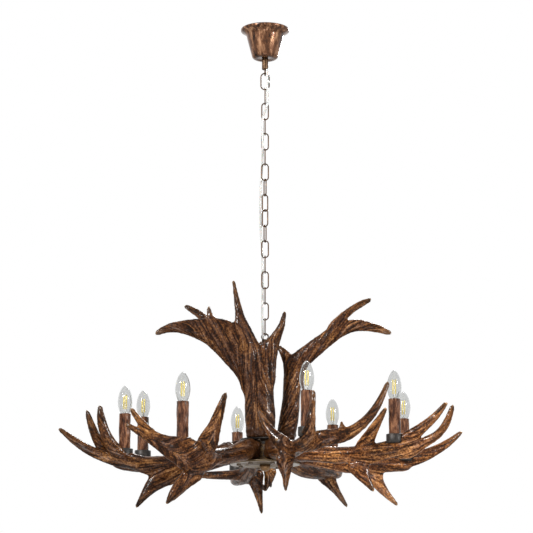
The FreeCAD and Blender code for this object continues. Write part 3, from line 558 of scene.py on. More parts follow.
def curveThrough(points):
    # a smooth curve through the points, closer set towards the tip
    points = [Vector(p) for p in points]
    ends = [2 * points[0] - points[1]] + points + [2 * points[-1] - points[-2]]
    path = []
    for a, b, c, d in zip(ends, ends[1:], ends[2:], ends[3:]):
        for k in range(antlerLook["spanSteps"]):
            t = k / antlerLook["spanSteps"]
            path.append(b + (c - a) * (t / 2) + (a - 2.5 * b + 2 * c - 0.5 * d) * t ** 2
                        + (1.5 * b - 0.5 * a - 1.5 * c + 0.5 * d) * t ** 3)
    return towardsTip(np.array(path + [points[-1]]))


def towardsTip(path):
    run = runOf(path)
    count = max(antlerLook["fewestRings"], round(run[-1] / antlerLook["ringStep"]))
    spots = run[-1] * np.sin(np.linspace(0, math.pi / 2, count))
    return np.stack([np.interp(spots, run, path[:, k]) for k in range(3)], 1)


def addLimb(bm, path, widths, heights, face):
    # an oval limb round a path, with a blunt tip
    look = antlerLook
    run = runOf(path)
    share = run / run[-1]
    width = np.interp(share, np.linspace(0, 1, len(widths)), widths)
    height = np.interp(share, np.linspace(0, 1, len(heights)), heights)
    left = np.minimum((run[-1] - run) / (look["blunt"] * width[-1]), 1)
    blunt = np.sqrt(np.maximum(1 - (1 - left) ** 2, look["leastTip"]))
    along = unit(np.gradient(path, axis=0))
    across = unit(np.cross(along, np.array(face, dtype=float)))
    up = np.cross(across, along)
    turns = np.linspace(0, math.tau, look["sides"], endpoint=False)
    rings = []
    for i, centre in enumerate(path):
        side = across[i] * width[i] / 2 * blunt[i]
        rise = up[i] * height[i] / 2 * blunt[i]
        rings.append([bm.verts.new(centre + side * math.cos(t) + rise * math.sin(t)) for t in turns])
    skinRings(bm, rings)


def addSeen(bm, data):
    shape, count = bladeShape, antlerLook["limbSteps"]
    for places, widths in data.get("seen", []):
        path = [fromPhoto(*place) for place in places]
        path[-1] += (path[-1] - path[-2]).normalized() * shape["beyondTip"]
        steps = runOf(np.array(path))
        even = np.interp(np.linspace(0, steps[-1], count), steps, widths)
        blade = np.minimum(even * shape["share"], shape["least"] + even * shape["slope"])
        rooted = np.clip(np.linspace(0, 1, count) / shape["rootShare"], shape["rootLeast"], 1)
        even, blade = even * np.sqrt(rooted), blade * rooted
        addLimb(bm, curveThrough(path), even * mm, blade * mm, (0, 1, 0))


def addTines(bm, beam, tines, place):
    run = runOf(beam)
    for at, tip, width, face in tines:
        root = Vector([np.interp(at * run[-1], run, beam[:, k]) for k in range(3)])
        tip = Vector(tip) * mm + place
        reach = tip - root
        bend = root + Vector([way * share for way, share in zip(reach, tineShape["bend"])])
        path = [root.lerp(bend, t).lerp(bend.lerp(tip, t), t) for t in np.linspace(0, 1, antlerLook["limbSteps"])]
        sizes = [[width * mm * w for w in tineShape[side]] for side in ("widths", "heights")]
        addLimb(bm, towardsTip(np.array(path)), *sizes, face)


def lowerForm(bm, data, candle, hub):
    # the beam and its own tines are made along x and turned to their side, then come the seen limbs
    shape, goesOn = beamShape, "beyond" in data
    toSeat = math.hypot(candle.x, candle.y)
    axisZ = candle.z - hub["discTop"] - shape["seatToAxis" if goesOn else "endToAxis"] * mm
    start, middle = hub["body"] + mm, hub["gap"] / 2
    points = [(start, 0, middle), (start + shape["burrLength"] * mm, 0, middle), (shape["dip"] * mm, 0, axisZ / 2),
              (toSeat, 0, axisZ)]
    points += [Vector(p) * mm for p in data["beyond"]] if goesOn else [(toSeat + shape["pastSeat"] * mm, 0, axisZ)]
    thick = shape["thick"] * (data["girth"] if goesOn else 1) * mm
    rows = ("widths", "heights") if goesOn else ("seatWidths", "seatHeights")
    sizes = []
    for row, burr in zip(rows, ("burr", "burrHeight")):
        sizes.append([shape[burr] * mm * w for w in shape[row][:2]] + [thick * w for w in shape[row][2:]])
    beam = curveThrough(points)
    addLimb(bm, beam, *sizes, (0, 0, 1))
    addTines(bm, beam, data.get("tines", []), Vector((0, 0, 0)))
    turn = Matrix.Rotation(math.radians(data["azimuth"] - 90), 4, "Z")
    bmesh.ops.transform(bm, verts=bm.verts, matrix=Matrix.Translation((0, 0, hub["discTop"])) @ turn)
    addSeen(bm, data)


def upperForm(bm, data, hub):
    plate = Vector((0, 0, hub["plateTop"]))
    beam = curveThrough([Vector(p) * mm + plate for p in data["beam"]])
    addLimb(bm, beam, [w * mm for w in data["widths"]], [h * mm for h in data["heights"]], (0.05, -1, 0))
    addTines(bm, beam, data.get("tines", []), plate)
    addSeen(bm, data)


def fitRound(co, hub, candle):
    # the flat seat under a candle, and the room of disc, plate and hub body at the clamped end
    radius = np.hypot(co[:, 0], co[:, 1])
    if candle is None:
        co[:, 2] = np.maximum(co[:, 2], hub["plateTop"])
        return co
    nearSeat = np.hypot(co[:, 0] - candle.x, co[:, 1] - candle.y) < hub["seatRoom"]
    co[:, 2] = np.where(nearSeat, np.minimum(co[:, 2], candle.z), co[:, 2])
    overDisc = (radius < hub["disc"]) & (co[:, 2] > hub["discTop"] - hub["gap"] / 2)
    co[:, 2] = np.where(overDisc, np.maximum(co[:, 2], hub["discTop"]), co[:, 2])
    underPlate = (radius < hub["plate"]) & (co[:, 2] < hub["plateTop"])
    co[:, 2] = np.where(underPlate, np.minimum(co[:, 2], hub["discTop"] + hub["gap"]), co[:, 2])
    out = np.maximum(hub["body"] / np.maximum(radius, 1e-6), 1)
    co[:, :2] *= out[:, None]
    return co


def smoothForm(rough, edges):
    # rounds the roots off, and gives back what that took from thin stems
    smooth = relax(rough, edges, antlerLook["smoothRounds"])
    return smooth + relax(rough - smooth, edges, antlerLook["smoothRounds"])


def wayFromBurr(mesh, co, edges, hubPoint):
    # the shortest way over the surface, across the quads too, from the cut end
    corners = readArray(mesh.loops, "vertex_index", 1, np.int64).reshape(-1, 4)
    ends, others = bothWays(np.concatenate([edges, corners[:, [0, 2]], corners[:, [1, 3]]]))
    lengths = np.linalg.norm(co[ends] - co[others], axis=1)
    fromHub = np.linalg.norm(co - np.array(hubPoint), axis=1)
    way = np.where(fromHub < fromHub.min() + antlerLook["cutEnd"], 0.0, 9.0)
    while True:
        shorter = way.copy()
        np.minimum.at(shorter, ends, way[others] + lengths)
        if np.array_equal(shorter, way):
            return relax((way + fromHub) / 2, edges, antlerLook["wayRounds"])
        way = shorter


def growthFlow(co, edges, normals, reach):
    # along the surface, from the burr towards the tips
    ends, others = bothWays(edges)
    step = co[others] - co[ends]
    rise = (reach[others] - reach[ends]) / np.maximum((step ** 2).sum(axis=1), 1e-12)
    flow = np.stack([np.bincount(ends, weights=step[:, k] * rise, minlength=len(co)) for k in range(3)], 1)
    flow = unit(relax(unit(flow), edges, antlerLook["flowRounds"]))
    return unit(flow - (flow * normals).sum(axis=1)[:, None] * normals)


def findTips(co, edges, reach):
    # where the way from the burr is longer than at every point beside it
    most = np.full(len(co), -1.0)
    np.maximum.at(most, edges[:, 0], reach[edges[:, 1]])
    np.maximum.at(most, edges[:, 1], reach[edges[:, 0]])
    return co[reach >= most]


def toNearest(co, points):
    return np.min(np.linalg.norm(co[:, None, :] - points[None, :, :], axis=2), axis=1)


def nearestPoints(co, places):
    tree = kdtree.KDTree(len(co))
    for i, p in enumerate(co):
        tree.insert(p, i)
    tree.balance()
    return [np.array([tree.find(p)[1] for p in place]) for place in places]


def streaked(values, ways, doublings):
    # a mean of the values met along the flow, both ways
    total = values.copy()
    for way in ways:
        run, jump = values.copy(), way.copy()
        for _ in range(doublings):
            run = run + run[jump]
            jump = jump[jump]
        total += run
    total -= total.mean()
    return total / total.std()


def growAntler(node, number, hubPoint, bm, hub, candle):
    look = antlerLook
    piece = finishMesh("antlerPiece%02d" % number, bm)
    remesh = piece.modifiers.new("skin", "REMESH")
    remesh.mode = "VOXEL"
    remesh.voxel_size = look["voxel"]
    bakeModifiers(piece)
    mesh = piece.data
    rough, edges = meshArrays(mesh)
    placed = smoothForm(rough, edges)
    core = relax(placed, edges, look["coreRounds"])
    movePoints(mesh, placed)
    normals = readArray(mesh.vertex_normals, "vector", 3)
    reach = wayFromBurr(mesh, placed, edges, hubPoint)
    tips = findTips(placed, edges, reach)
    flow = growthFlow(placed, edges, normals, reach)
    bulge = ((placed - relax(placed, edges, look["rimRounds"])) * normals).sum(axis=1)
    store(mesh, "aside", placed - core)
    store(mesh, "flow", flow)
    store(mesh, "rim", np.clip(bulge / look["rim"] - look["rimStart"], 0, 1))
    finer = piece.modifiers.new("finer", "SUBSURF")
    finer.levels = finer.render_levels = 1
    bakeModifiers(piece)
    carveAntler(piece.data, node, number, hubPoint, tips, hub, candle)
    return piece


def carveAntler(mesh, node, number, hubPoint, tips, hub, candle):
    # long grooves that follow the growth, fine streaks between them, and knobs at the burr
    look = antlerLook
    co, edges = meshArrays(mesh)
    normals = readArray(mesh.vertex_normals, "vector", 3)
    flow = unit(readArray(mesh.attributes["flow"].data, "vector", 3))
    ways = nearestPoints(co, (co + flow * look["flowStep"], co - flow * look["flowStep"]))
    grains = antlerRandom.standard_normal((len(co), 2))
    broad, fine = [streaked(relax(grain, edges, rounds), ways, doublings)
                   for grain, (rounds, doublings) in zip(grains.T, look["grains"])]
    thick = np.linalg.norm(readArray(mesh.attributes["aside"].data, "vector", 3), axis=1)
    depth = np.clip((thick - look["thin"]) / look["thickness"], look["leastDepth"], 1)
    groove = np.minimum(np.abs(broad), look["flatTop"]) - look["grooveMiddle"]
    if node.startswith("upper"):
        depth *= look["upperGroove"]
        fromBurr = co[:, 2] - hubPoint[2]
    else:
        fromBurr = np.linalg.norm(co - np.array(hubPoint), axis=1) - look["burrStart"]
    burr = np.clip(look["burrFull"] - fromBurr / look["burrReach"], 0, 1)
    places = co * look["knobScale"] + number
    knobs = np.array([noise.noise(Vector(p)) if b > 0 else 0.0 for p, b in zip(places, burr)])
    height = depth * (look["groove"] * groove + look["fineGroove"] * fine) * (1 - look["burrCalm"] * burr)
    height += look["knob"] * burr * np.clip(knobs + look["knobLift"], 0, 1)
    co = fitRound(co + normals * height[:, None], hub, candle)
    for key, one, other in (("crest", groove, fine), ("streak", fine, broad)):
        store(mesh, key, np.clip(0.5 + look[key][0] * one + look[key][1] * other, 0, 1))
    store(mesh, "burr", burr)
    store(mesh, "tip", np.clip(1 - toNearest(co, tips) / look["tipReach"], 0, 1))
    movePoints(mesh, co)


def antlerMaterial(name, shade, seed):
    look = antlerLook
    shades = {key: [c * shade for c in look[key]] for key in ("black", "dark", "brown", "tan", "pale")}
    material, tree, shader = newMaterial(name)
    place = objectPlace(tree)
    marks = {key: attribute(tree, key) for key in ("crest", "streak", "burr", "tip", "rim")}
    # the fibre's place: across it as on the surface, along it slow, and moved by the seed
    drift = addNode(tree, "VectorMath", {0: place, "Scale": look["drift"]}, operation="SCALE").outputs[0]
    moved = {0: drift, 1: [seed * share for share in look["seedShift"]]}
    shift = addNode(tree, "VectorMath", moved, operation="ADD").outputs[0]
    fibre = addNode(tree, "VectorMath", {0: attribute(tree, "aside", "Vector"), 1: shift}, operation="ADD").outputs[0]
    grain = placeGroup(tree, grainGroup, fibre, Scale=260.0, Contrast=2.4)
    mottle = placeGroup(tree, grainGroup, place, Scale=230.0, Contrast=2.2)["Streaks"]
    patches = placeGroup(tree, patchGroup, place, Scale=13.0, Edge=0.49)["Mask"]
    marks["fleck"] = placeGroup(tree, patchGroup, place, Scale=85.0, Edge=0.56)["Mask"]
    # the crest share darkens the grooves and lightens the ridges: painted shade in the grooves
    tones = (marks["streak"], grain["Streaks"], marks["crest"], mottle)
    tone = weighted(tree, *zip(tones, look["toneShares"]))
    base = colourRamp(tree, tone, list(zip(look["toneStops"], shades.values())))
    colour = mixColour(tree, patches, mixColour(tree, 1.0, base, look["patchTint"], "MULTIPLY"), base)
    # rubbed rims, flecks, burrs and tips, and the crest entry's painted shade in the hollows
    for key, limits, shadeName in look["wearAndShade"]:
        colour = mixColour(tree, rangeOf(tree, marks[key], *limits), colour, shades[shadeName])
    feedAll(tree, shader, {
        "Base Color": colour, "Roughness": rangeOf(tree, grain["Streaks"], *look["roughness"]),
        "Coat Weight": rangeOf(tree, marks["crest"], *look["coat"]), "Coat Roughness": 0.14,
        "Specular IOR Level": 0.05})
    bumpFrom(tree, shader, grain["Height"], *look["bump"])
    return material


def makeAntlers():
    darkAntler, warmAntler, paleAntler = [antlerMaterial(*finish) for finish in antlerLook["finishes"]]
    plate, disc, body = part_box("hub_top_plate"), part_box("hub_disc"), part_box("hub_body")
    hub = {"plateTop": plate[1][2], "discTop": disc[1][2], "gap": plate[0][2] - disc[1][2], "disc": disc[1][0],
           "plate": plate[1][0], "body": body[1][0] + antlerLook["bodyGap"],
           "seatRoom": candleLook["cup"] + antlerLook["seatEdge"]}
    for number, data in enumerate(lowerAntlers + upperAntlers, 1):
        bm = bmesh.new()
        if number <= len(lowerAntlers):
            node, candle = "lower_antler_%d" % number, candlePlaces[number - 1]
            lowerForm(bm, data, candle, hub)
            way = Vector((candle.x, candle.y, 0)).normalized() * hub["plate"]
            hubPoint = Vector((way.x, way.y, hub["discTop"] + hub["gap"] / 2))
        else:
            node, candle = "upper_antler_%d" % (number - len(lowerAntlers)), None
            upperForm(bm, data, hub)
            hubPoint = Vector((0, 0, hub["plateTop"]))
        piece = growAntler(node, number, hubPoint, bm, hub, candle)
        pale, warm = node in antlerLook["paleOnes"], node in antlerLook["warmOnes"]
        dress(piece, paleAntler if pale else warmAntler if warm else darkAntler, node, "light")


makeAntlers()
print("antlers done")


# ---------- chain, loops and canopy

chainLook = {"bronze": (0.060, 0.030, 0.012), "rubbed": (0.20, 0.11, 0.045), "brass": (0.17, 0.095, 0.045),
             "brassRubbed": (0.36, 0.24, 0.13), "wire": 0.0032, "inner": 0.0396, "outer": 0.0196,
             "openOuter": 0.024, "gap": 0.0045, "bendSteps": 12, "sides": 12}
loopLook = {"wire": 0.004, "radius": 0.008, "collar": 0.008, "chamfer": 0.0016, "ringSteps": 28,
            "toRing": 0.010, "canopyCollar": 0.028, "hubCollar": 0.025}
tubeBore = 0.00505


def sweepRing(bm, path, normal, wire, closed):
    # a round wire along a flat path, from one circle copied and bridged at every point
    rings = []
    count = len(path)
    for i, point in enumerate(path):
        before = path[i - 1] if closed or i else point
        after = path[(i + 1) % count] if closed or i < count - 1 else point
        along = (after - before).normalized()
        turn = Matrix((along.cross(normal), normal, along)).transposed().to_4x4()
        rings.append(bmesh.ops.create_circle(bm, segments=chainLook["sides"], radius=wire / 2,
                                             matrix=Matrix.Translation(point) @ turn)["verts"])
    skinRings(bm, rings, closed)


def linkPath(outer, flat, middle, gap):
    bend = (outer - chainLook["wire"]) / 2
    straight = (chainLook["inner"] + chainLook["wire"]) / 2 - bend
    path = []
    for end, start in ((1, 0), (-1, math.pi)):
        for k in range(chainLook["bendSteps"] + 1):
            a = math.pi * k / chainLook["bendSteps"] + start
            path.append((bend * math.cos(a), end * straight + bend * math.sin(a)))
    if gap:
        path = [(bend, gap / 2)] + path + [(bend, -gap / 2)]
    return [middle + flat * x + Vector((0, 0, z)) for x, z in path]


def flatDirection(node):
    # the wide direction of a link, from its own points
    co = np.array([v.co[:] for v in cadNodes[node].data.vertices])
    flat = co[:, :2] - co[:, :2].mean(axis=0)
    vectors = np.linalg.eigh(flat.T @ flat)[1]
    return Vector((vectors[0, 1], vectors[1, 1], 0)).normalized()


def makeChain():
    links = sorted(n for n in cadNodes if n.startswith("chain_link_"))
    for number, node in enumerate(links, 1):
        low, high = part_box(node)
        flat = flatDirection(node)
        opened = number == 1
        if opened and flat.x < 0:
            flat = -flat
        middle = Vector((0, 0, (low[2] + high[2]) / 2))
        outer, gap = (chainLook["openOuter"], chainLook["gap"]) if opened else (chainLook["outer"], 0)
        bm = bmesh.new()
        sweepRing(bm, linkPath(outer, flat, middle, gap), Vector((-flat.y, flat.x, 0)), chainLook["wire"], not opened)
        dress(finishMesh("chainLink%02d" % number, bm), bronze, node, "link_%02d" % number)


def makeLoop(node, name, body, top, height, ringZ, flat):
    bm = bmesh.new()
    r, c = loopLook["collar"], loopLook["chamfer"]
    profile = [(0, top - height), (r - c, top - height)]
    profile += arcPoints((r - c, top - height + c), c, -90, 0, 5)
    profile += arcPoints((r - c, top - c), c, 0, 90, 5) + [(0, top)]
    spinProfile(bm, profile, 40, closed=False)
    turns = [math.tau * k / loopLook["ringSteps"] for k in range(loopLook["ringSteps"])]
    path = [Vector((0, 0, ringZ + loopLook["radius"] * math.sin(a))) + flat * (loopLook["radius"] * math.cos(a))
            for a in turns]
    sweepRing(bm, path, Vector((-flat.y, flat.x, 0)), loopLook["wire"], True)
    dress(finishMesh(name, bm), bronze, node, body)


canopyLook = {"rim": 0.061, "rimHeight": 0.005, "neck": 0.046, "neckDepth": 0.022, "bottom": 0.030, "height": 0.078,
              "wall": 0.0012, "round": 0.009, "tuck": 0.0035, "flare": 2.2, "edge": 0.0005, "steps": 8,
              "dark": (0.015, 0.0055, 0.0026), "copper": (0.112, 0.044, 0.018), "glint": (0.36, 0.19, 0.10)}


def canopyOutline(inset):
    look = canopyLook
    rim, neck, low, corner = look["rim"] - inset, look["neck"] - inset, look["bottom"] - inset, look["round"]
    points = [(rim, 0), (rim, -look["rimHeight"] + inset)]
    for k in range(1, look["steps"] + 1):
        share = k / look["steps"]
        points.append((neck + (rim - neck) * (1 - share) ** look["flare"],
                       -look["rimHeight"] - (look["neckDepth"] - look["rimHeight"]) * share + inset * (1 - share)))
    centre = (low - corner + look["tuck"], -look["height"] + corner + inset)
    return points + arcPoints(centre, corner, -8, -90, look["steps"])


def makeCanopy():
    look = canopyLook
    paint = streakedPaint(
        "streakedCopperPaint", 0.16, 75.0, 2.4, [(0.12, look["dark"]), (0.55, look["copper"]), (0.92, look["glint"])],
        {"Metallic": 0.45, "Roughness": 0.24, "Specular IOR Level": 0.2, "Coat Weight": 0.2, "Coat Roughness": 0.08},
        (0.18, 0.0005))
    edge = [(tubeBore, -look["height"] + look["wall"]), (tubeBore, -look["height"])]
    piece = turned("canopyShell", edge + canopyOutline(0)[::-1] + canopyOutline(look["wall"]), steps=96)
    piece.modifiers.new("soften", "BEVEL").width = look["edge"]
    bakeModifiers(piece)
    dress(piece, paint, "canopy", "ceiling")


bronze = paintedMetal("antiqueBronze", chainLook["bronze"], chainLook["rubbed"], 0.36, 0.5)
brass = paintedMetal("agedBrass", chainLook["brass"], chainLook["brassRubbed"], 0.36, 0.75)
makeChain()
makeCanopy()
canopyLow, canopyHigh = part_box("canopy_loop")
makeLoop("canopy_loop", "canopyLoop", "ceiling", canopyHigh[2], loopLook["canopyCollar"],
         canopyLow[2] + loopLook["toRing"], Vector((0, 1, 0)))
hubLow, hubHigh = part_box("hub_loop")
makeLoop("hub_loop", "hubLoop", "light", hubLow[2] + loopLook["hubCollar"], loopLook["hubCollar"],
         hubHigh[2] - loopLook["toRing"], Vector((1, 0, 0)))
print("chain and canopy done")


# ---------- hub

hubLook = {"gold": (0.34, 0.20, 0.075), "brown": (0.10, 0.052, 0.024), "black": (0.02, 0.014, 0.010),
           "disc": (0.12, 0.082, 0.045), "discDark": (0.045, 0.028, 0.015),
           "paint": (0.018, 0.015, 0.013), "paintRubbed": (0.07, 0.055, 0.045),
           "band": 0.24, "waist": 0.14, "capFoot": 0.005, "capEdge": 0.0008, "capHole": 0.0076, "steps": 12}


def makeSlab(node, name, material, bevel):
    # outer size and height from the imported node
    low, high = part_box(node)
    radius = high[0]
    profile = [(tubeBore, low[2]), (radius - bevel, low[2])]
    profile += arcPoints((radius - bevel, low[2] + bevel), bevel, -90, 0, 5)
    profile += arcPoints((radius - bevel, high[2] - bevel), bevel, 0, 90, 5) + [(tubeBore, high[2])]
    dress(turned(name, profile, steps=128), material, node, "light")


def makeHubBody():
    look = hubLook
    resin = streakedPaint(
        "mottledHubResin", 1.0, 55.0, 2.6, [(0.15, look["black"]), (0.45, look["brown"]), (0.85, look["gold"])],
        {"Roughness": 0.34, "Specular IOR Level": 0.2, "Coat Weight": 0.12}, (0.5, 0.0012))
    low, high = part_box("hub_body")
    radius, middle, half = high[0], (low[2] + high[2]) / 2, (high[2] - low[2]) / 2
    profile = [(tubeBore, low[2]), (radius, low[2]), (radius, low[2] + half * look["band"])]
    for k in range(1, look["steps"]):
        share = -1 + 2 * k / look["steps"]
        profile.append((radius * (1 - look["waist"] + look["waist"] * share * share),
                        middle + half * (1 - look["band"]) * share))
    profile += [(radius, high[2] - half * look["band"]), (radius, high[2]), (tubeBore, high[2])]
    dress(turned("hubBody", profile, steps=96), resin, "hub_body", "light")


def makeHubCap():
    look = hubLook
    low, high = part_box("hub_cap")
    radius, foot, hole = high[0], high[2] - look["capFoot"], low[2] + look["capHole"]
    profile = [(0, low[2])]
    for k in range(1, look["steps"] + 1):
        a = math.pi / 2 * k / look["steps"]
        profile.append((radius * math.sin(a), foot - (foot - low[2]) * math.cos(a)))
    profile += [(radius, high[2] - look["capEdge"]), (radius - look["capEdge"], high[2]), (tubeBore, high[2]),
                (tubeBore, hole), (0, hole)]
    dress(turned("hubCap", profile, steps=64, closed=False), brass, "hub_cap", "light")


beigeBrass = paintedMetal("beigeBrass", hubLook["disc"], hubLook["discDark"], 0.34, 0.5, 60.0, 0.55, 0.3)
blackPaint = paintedMetal("blackPaint", hubLook["paint"], hubLook["paintRubbed"], 0.4, 0.2)
makeSlab("hub_disc", "hubDisc", beigeBrass, bevel=0.0012)
makeSlab("hub_top_plate", "hubTopPlate", blackPaint, bevel=0.001)
makeHubBody()
makeHubCap()
print("hub done")


# ---------- candles

def makeSleeves():
    look = candleLook
    bark = streakedPaint(
        "barkSleeve", 0.28, 150.0, 2.4, [(0.1, look["barkDark"]), (0.5, look["bark"]), (0.95, look["barkPale"])],
        {"Roughness": 0.2, "Specular IOR Level": 0.12, "Coat Weight": 0.16, "Coat Roughness": 0.08}, (0.5, 0.0010),
        look["barkPale"])
    low, last = look["cupWall"] + look["lift"], look["sleeveRings"] - 1
    profile = [(look["sleeve"], low + look["sleeveLength"] * k / last) for k in range(last + 1)]
    profile = [(look["bore"], low)] + profile + [(look["bore"], low + look["sleeveLength"])]
    piece = turned("candleSleeves", profile, steps=72, places=candlePlaces)
    # the bark is pushed in and out across the skin, and leaves the bore round
    co = meshArrays(piece.data)[0]
    axes = np.array([place[:] for place in candlePlaces])
    nearest = np.argmin(((co[:, None, :2] - axes[None, :, :2]) ** 2).sum(axis=2), axis=1)
    out = co[:, :2] - axes[nearest, :2]
    radius = np.linalg.norm(out, axis=1)
    skin = np.clip((radius - look["bore"]) / (look["sleeve"] - look["bore"]), 0, 1)
    heights = np.zeros(len(co))
    places = co * look["barkScale"]
    places[:, 2] += nearest * look["barkShift"]
    for i in np.flatnonzero(skin > 0.5):
        q = Vector(places[i])
        heights[i] = noise.noise(q) + 0.5 * noise.noise(q * look["barkFine"]) - look["barkLevel"]
    push = np.clip(heights, *look["barkRange"]) * look["barkDepth"] * skin
    co[:, :2] += out / radius[:, None] * push[:, None]
    store(piece.data, "crest", np.clip(0.5 + heights * 0.5, 0, 1))
    movePoints(piece.data, co)
    dress(piece, bark, "candle_sleeves", "light")


def makeCups():
    look = candleLook
    r, h, w, c, lip = look["cup"], look["cupHeight"], look["cupWall"], look["cupRound"], look["cupLip"]
    profile = [(look["hole"], 0), (r - c, 0)] + arcPoints((r - c, c), c, -80, 0, 6)
    profile += [(r, h - lip), (r - lip, h), (r - w, h)]
    profile += arcPoints((r - c, c), c - w, 0, -90, 5) + [(look["hole"], w)]
    piece = turned("candleCups", profile, steps=64, places=candlePlaces)
    dress(piece, blackPaint, "candle_cups", "light")


def glassMaterial():
    look = candleLook
    material, tree, shader = newMaterial("clearBulbGlass")
    # grey glass tint, darkening at the grazing edges as painted shade
    facing = addNode(tree, "LayerWeight", {"Blend": 0.35}).outputs["Facing"]
    tintAndEdgeShade = colourRamp(tree, facing, [(0.0, look["glass"]), (0.62, look["glass"]), (0.95, look["glassEdgeShade"])])
    feedAll(tree, shader, {"Base Color": tintAndEdgeShade, "Roughness": 0.02, "Transmission Weight": 1.0, "IOR": 1.45})
    ripple = addNode(tree, "TexNoise", {"Vector": objectPlace(tree), "Scale": 40.0, "Detail": 2.0})
    bumpFrom(tree, shader, ripple.outputs["Fac"], 0.01, 0.0003)
    return material


def flameOutline(base, inset):
    look = candleLook
    tall = look["glassHeight"] - look["inSleeve"]
    widest, least = look["widest"], look["atSleeve"] / look["bulb"]
    points = []
    for k in range(look["flameRings"] + 1):
        share = math.sin(math.pi / 2 * k / look["flameRings"])
        if share < widest:
            width = least + (1 - least) * math.sin(math.pi / 2 * share / widest)
        else:
            width = (1 - ((share - widest) / (1 - widest)) ** 2) ** look["shoulder"]
        points.append((max(0.0, look["bulb"] * width - inset), base + look["inSleeve"] + (tall - inset) * share))
    return points


def bulbEnvelope(name, base, axis):
    # two spun walls, joined at the open foot
    look = candleLook
    neck, foot = look["neck"], look["foot"]
    outer = [(neck * wide, base + up) for wide, up in foot] + flameOutline(base, 0)[:-1]
    outer.append((0, base + look["glassHeight"]))
    inner = flameOutline(base, look["glassWall"])[::-1]
    inner[0] = (0, inner[0][1])
    inner += [(neck * wide - look["glassWall"], base + up) for wide, up in foot[::-1]]
    bm = bmesh.new()
    for profile in (outer, inner):
        spinProfile(bm, profile, 48, axis, closed=False)
    rims = [e for e in bm.edges if e.is_boundary and abs(e.verts[0].co.z - base) < 1e-5]
    bmesh.ops.bridge_loops(bm, edges=rims)
    return finishMesh(name, bm)


def bulbFilaments(name, base, place):
    look = candleLook
    bm = bmesh.new()
    for k in range(look["threads"]):
        a = math.tau * (k + look["threadTurn"]) / look["threads"]
        side = Vector((math.cos(a), math.sin(a), 0)) * look["threadRing"]
        middle = Vector((place.x, place.y, base + look["threadMiddle"])) + side
        bmesh.ops.create_cone(bm, cap_ends=True, segments=10, radius1=look["thread"], radius2=look["thread"],
                              depth=look["threadLength"], matrix=Matrix.Translation(middle))
    return finishMesh(name, bm)


def makeBulbs():
    look = candleLook
    glass = glassMaterial()
    screwMetal = plainFinish("screwCapMetal", look["brass"], 0.3, 0.9)
    ceramic = plainFinish("bulbNeckWhite", look["ceramic"], 0.35)
    # the filaments get a painted glow, though they are no lamp
    filament = plainFinish("filamentYellow", look["glow"], 0.4, 0.0, 0.35)
    for number, place in enumerate(candlePlaces, 1):
        node = "bulb_%d" % number
        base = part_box(node)[1][2] - look["glassHeight"]
        axis, low = (place.x, place.y, 0), base - look["capHeight"]
        cap = [(r, low + z) for r, z in look["capTip"]]
        cap += [(look["cap"] - look["pitch"] * (k % 2), low + look["threadsFrom"] + look["pitch"] * k)
                for k in range(look["threadPoints"])]
        cap += [(look["cap"], base - look["capEdge"]), (look["cap"] - look["capEdge"], base), (0, base)]
        stem = [(r, base + z) for r, z in look["stem"]]
        for piece, material, stands in (
                (bulbEnvelope("bulbGlass%d" % number, base, axis), glass, node),
                (turned("bulbCap%d" % number, cap, 36, [axis], False), screwMetal, None),
                (turned("bulbStem%d" % number, stem, 24, [axis], False), ceramic, None),
                (bulbFilaments("bulbFilaments%d" % number, base, place), filament, None)):
            dress(piece, material, stands, "bulb_body_%d" % number)


makeSleeves()
makeCups()
makeBulbs()
print("candles done")


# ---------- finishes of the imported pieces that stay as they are

zincSteel = paintedMetal("zincSteel", (0.55, 0.55, 0.53), (0.38, 0.37, 0.35), 0.32, 1.0, 120.0)
antiqueSteel = paintedMetal("antiqueSteel", (0.10, 0.075, 0.055), (0.20, 0.16, 0.12), 0.4, 0.8, 120.0)
blackPlastic = plainFinish("blackHolderPlastic", (0.03, 0.03, 0.03), 0.5)
for material, nodes in ((zincSteel, ("ceiling_plate", "canopy_nipple", "plate_nut", "candle_nipples")),
                        (antiqueSteel, ("antler_bolts",)), (bronze, ("hub_rod",)),
                        (blackPlastic, ("terminal_block", "lamp_holders"))):
    for node in nodes:
        useMaterial(cadNodes[node], material)


# ---------- floor, lamps and background

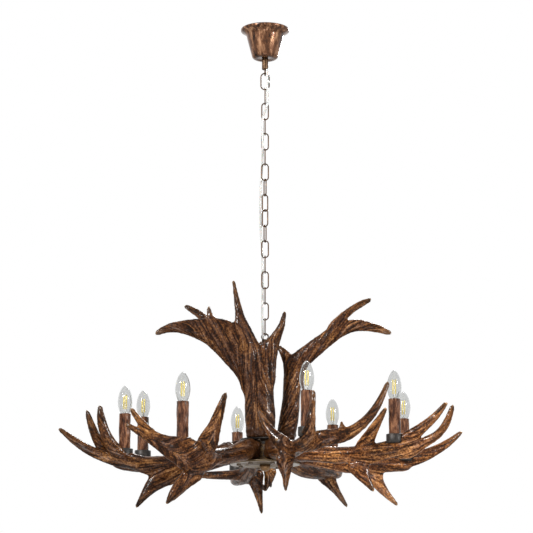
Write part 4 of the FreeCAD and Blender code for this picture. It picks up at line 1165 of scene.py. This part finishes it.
studio = {"floorZ": -2.3, "floorSize": 14.0, "floor": (0.70, 0.70, 0.69), "floorPale": 0.45, "world": 0.28,
          "lamps": [("keyLamp", (-2.4, -3.0, 1.1), 0.8, 200.0), ("fillLamp", (3.2, -2.4, 0.4), 0.8, 120.0),
                    ("backLamp", (0.8, 3.2, 1.2), 1.0, 100.0), ("underLamp", (0.0, -2.4, -1.9), 1.6, 18.0)],
          "aim": (0, 0, -0.95)}


def makeFloor():
    # pale from above, and clear from behind so that the light can be looked at from below
    bm = bmesh.new()
    bmesh.ops.create_grid(bm, x_segments=2, y_segments=2, size=studio["floorSize"] / 2,
                          matrix=Matrix.Translation((0, 0, studio["floorZ"])))
    floor = finishMesh("paleFloor", bm)
    if floor.data.polygons[0].normal.z < 0:
        floor.data.flip_normals()
    material, tree, shader = newMaterial("paleFloorPaint")
    seenByCamera = addNode(tree, "LightPath").outputs["Is Camera Ray"]
    feedAll(tree, shader, {"Base Color": studio["floor"], "Roughness": 0.7, "Emission Color": (1, 1, 1),
                           "Emission Strength": rangeOf(tree, seenByCamera, 0.0, 1.0, 0.0, studio["floorPale"])})
    behind = addNode(tree, "NewGeometry").outputs["Backfacing"]
    clear = addNode(tree, "BsdfTransparent").outputs["BSDF"]
    oneSided = addNode(tree, "MixShader", {0: behind, 1: shader.outputs["BSDF"], 2: clear})
    feed(tree, tree.nodes["Material Output"].inputs["Surface"], oneSided.outputs["Shader"])
    useMaterial(floor, material)


def makeLamps():
    for name, place, size, power in studio["lamps"]:
        lampData = bpy.data.lights.new(name, "AREA")
        lampData.shape = "DISK"
        lampData.size = size
        lampData.energy = power
        lamp = addObject(name, lampData)
        lamp.location = place
        lamp.rotation_euler = (Vector(studio["aim"]) - Vector(place)).to_track_quat("-Z", "Y").to_euler()


def makeBackground():
    # white to the camera and in glass and metal, dim as a light
    world = bpy.data.worlds.new("whiteRoom")
    scene.world = world
    world.use_nodes = True
    tree = world.node_tree
    rays = addNode(tree, "LightPath").outputs
    seen = mathNode(tree, "MAXIMUM", rays["Is Camera Ray"], rays["Is Transmission Ray"])
    seen = mathNode(tree, "MAXIMUM", seen, rays["Is Glossy Ray"])
    feedAll(tree, tree.nodes["Background"], {"Color": (1, 1, 1),
                                             "Strength": rangeOf(tree, seen, 0.0, 1.0, studio["world"], 1.0)})


makeFloor()
makeLamps()
makeBackground()
scene.view_settings.view_transform = "Standard"
print("studio done")
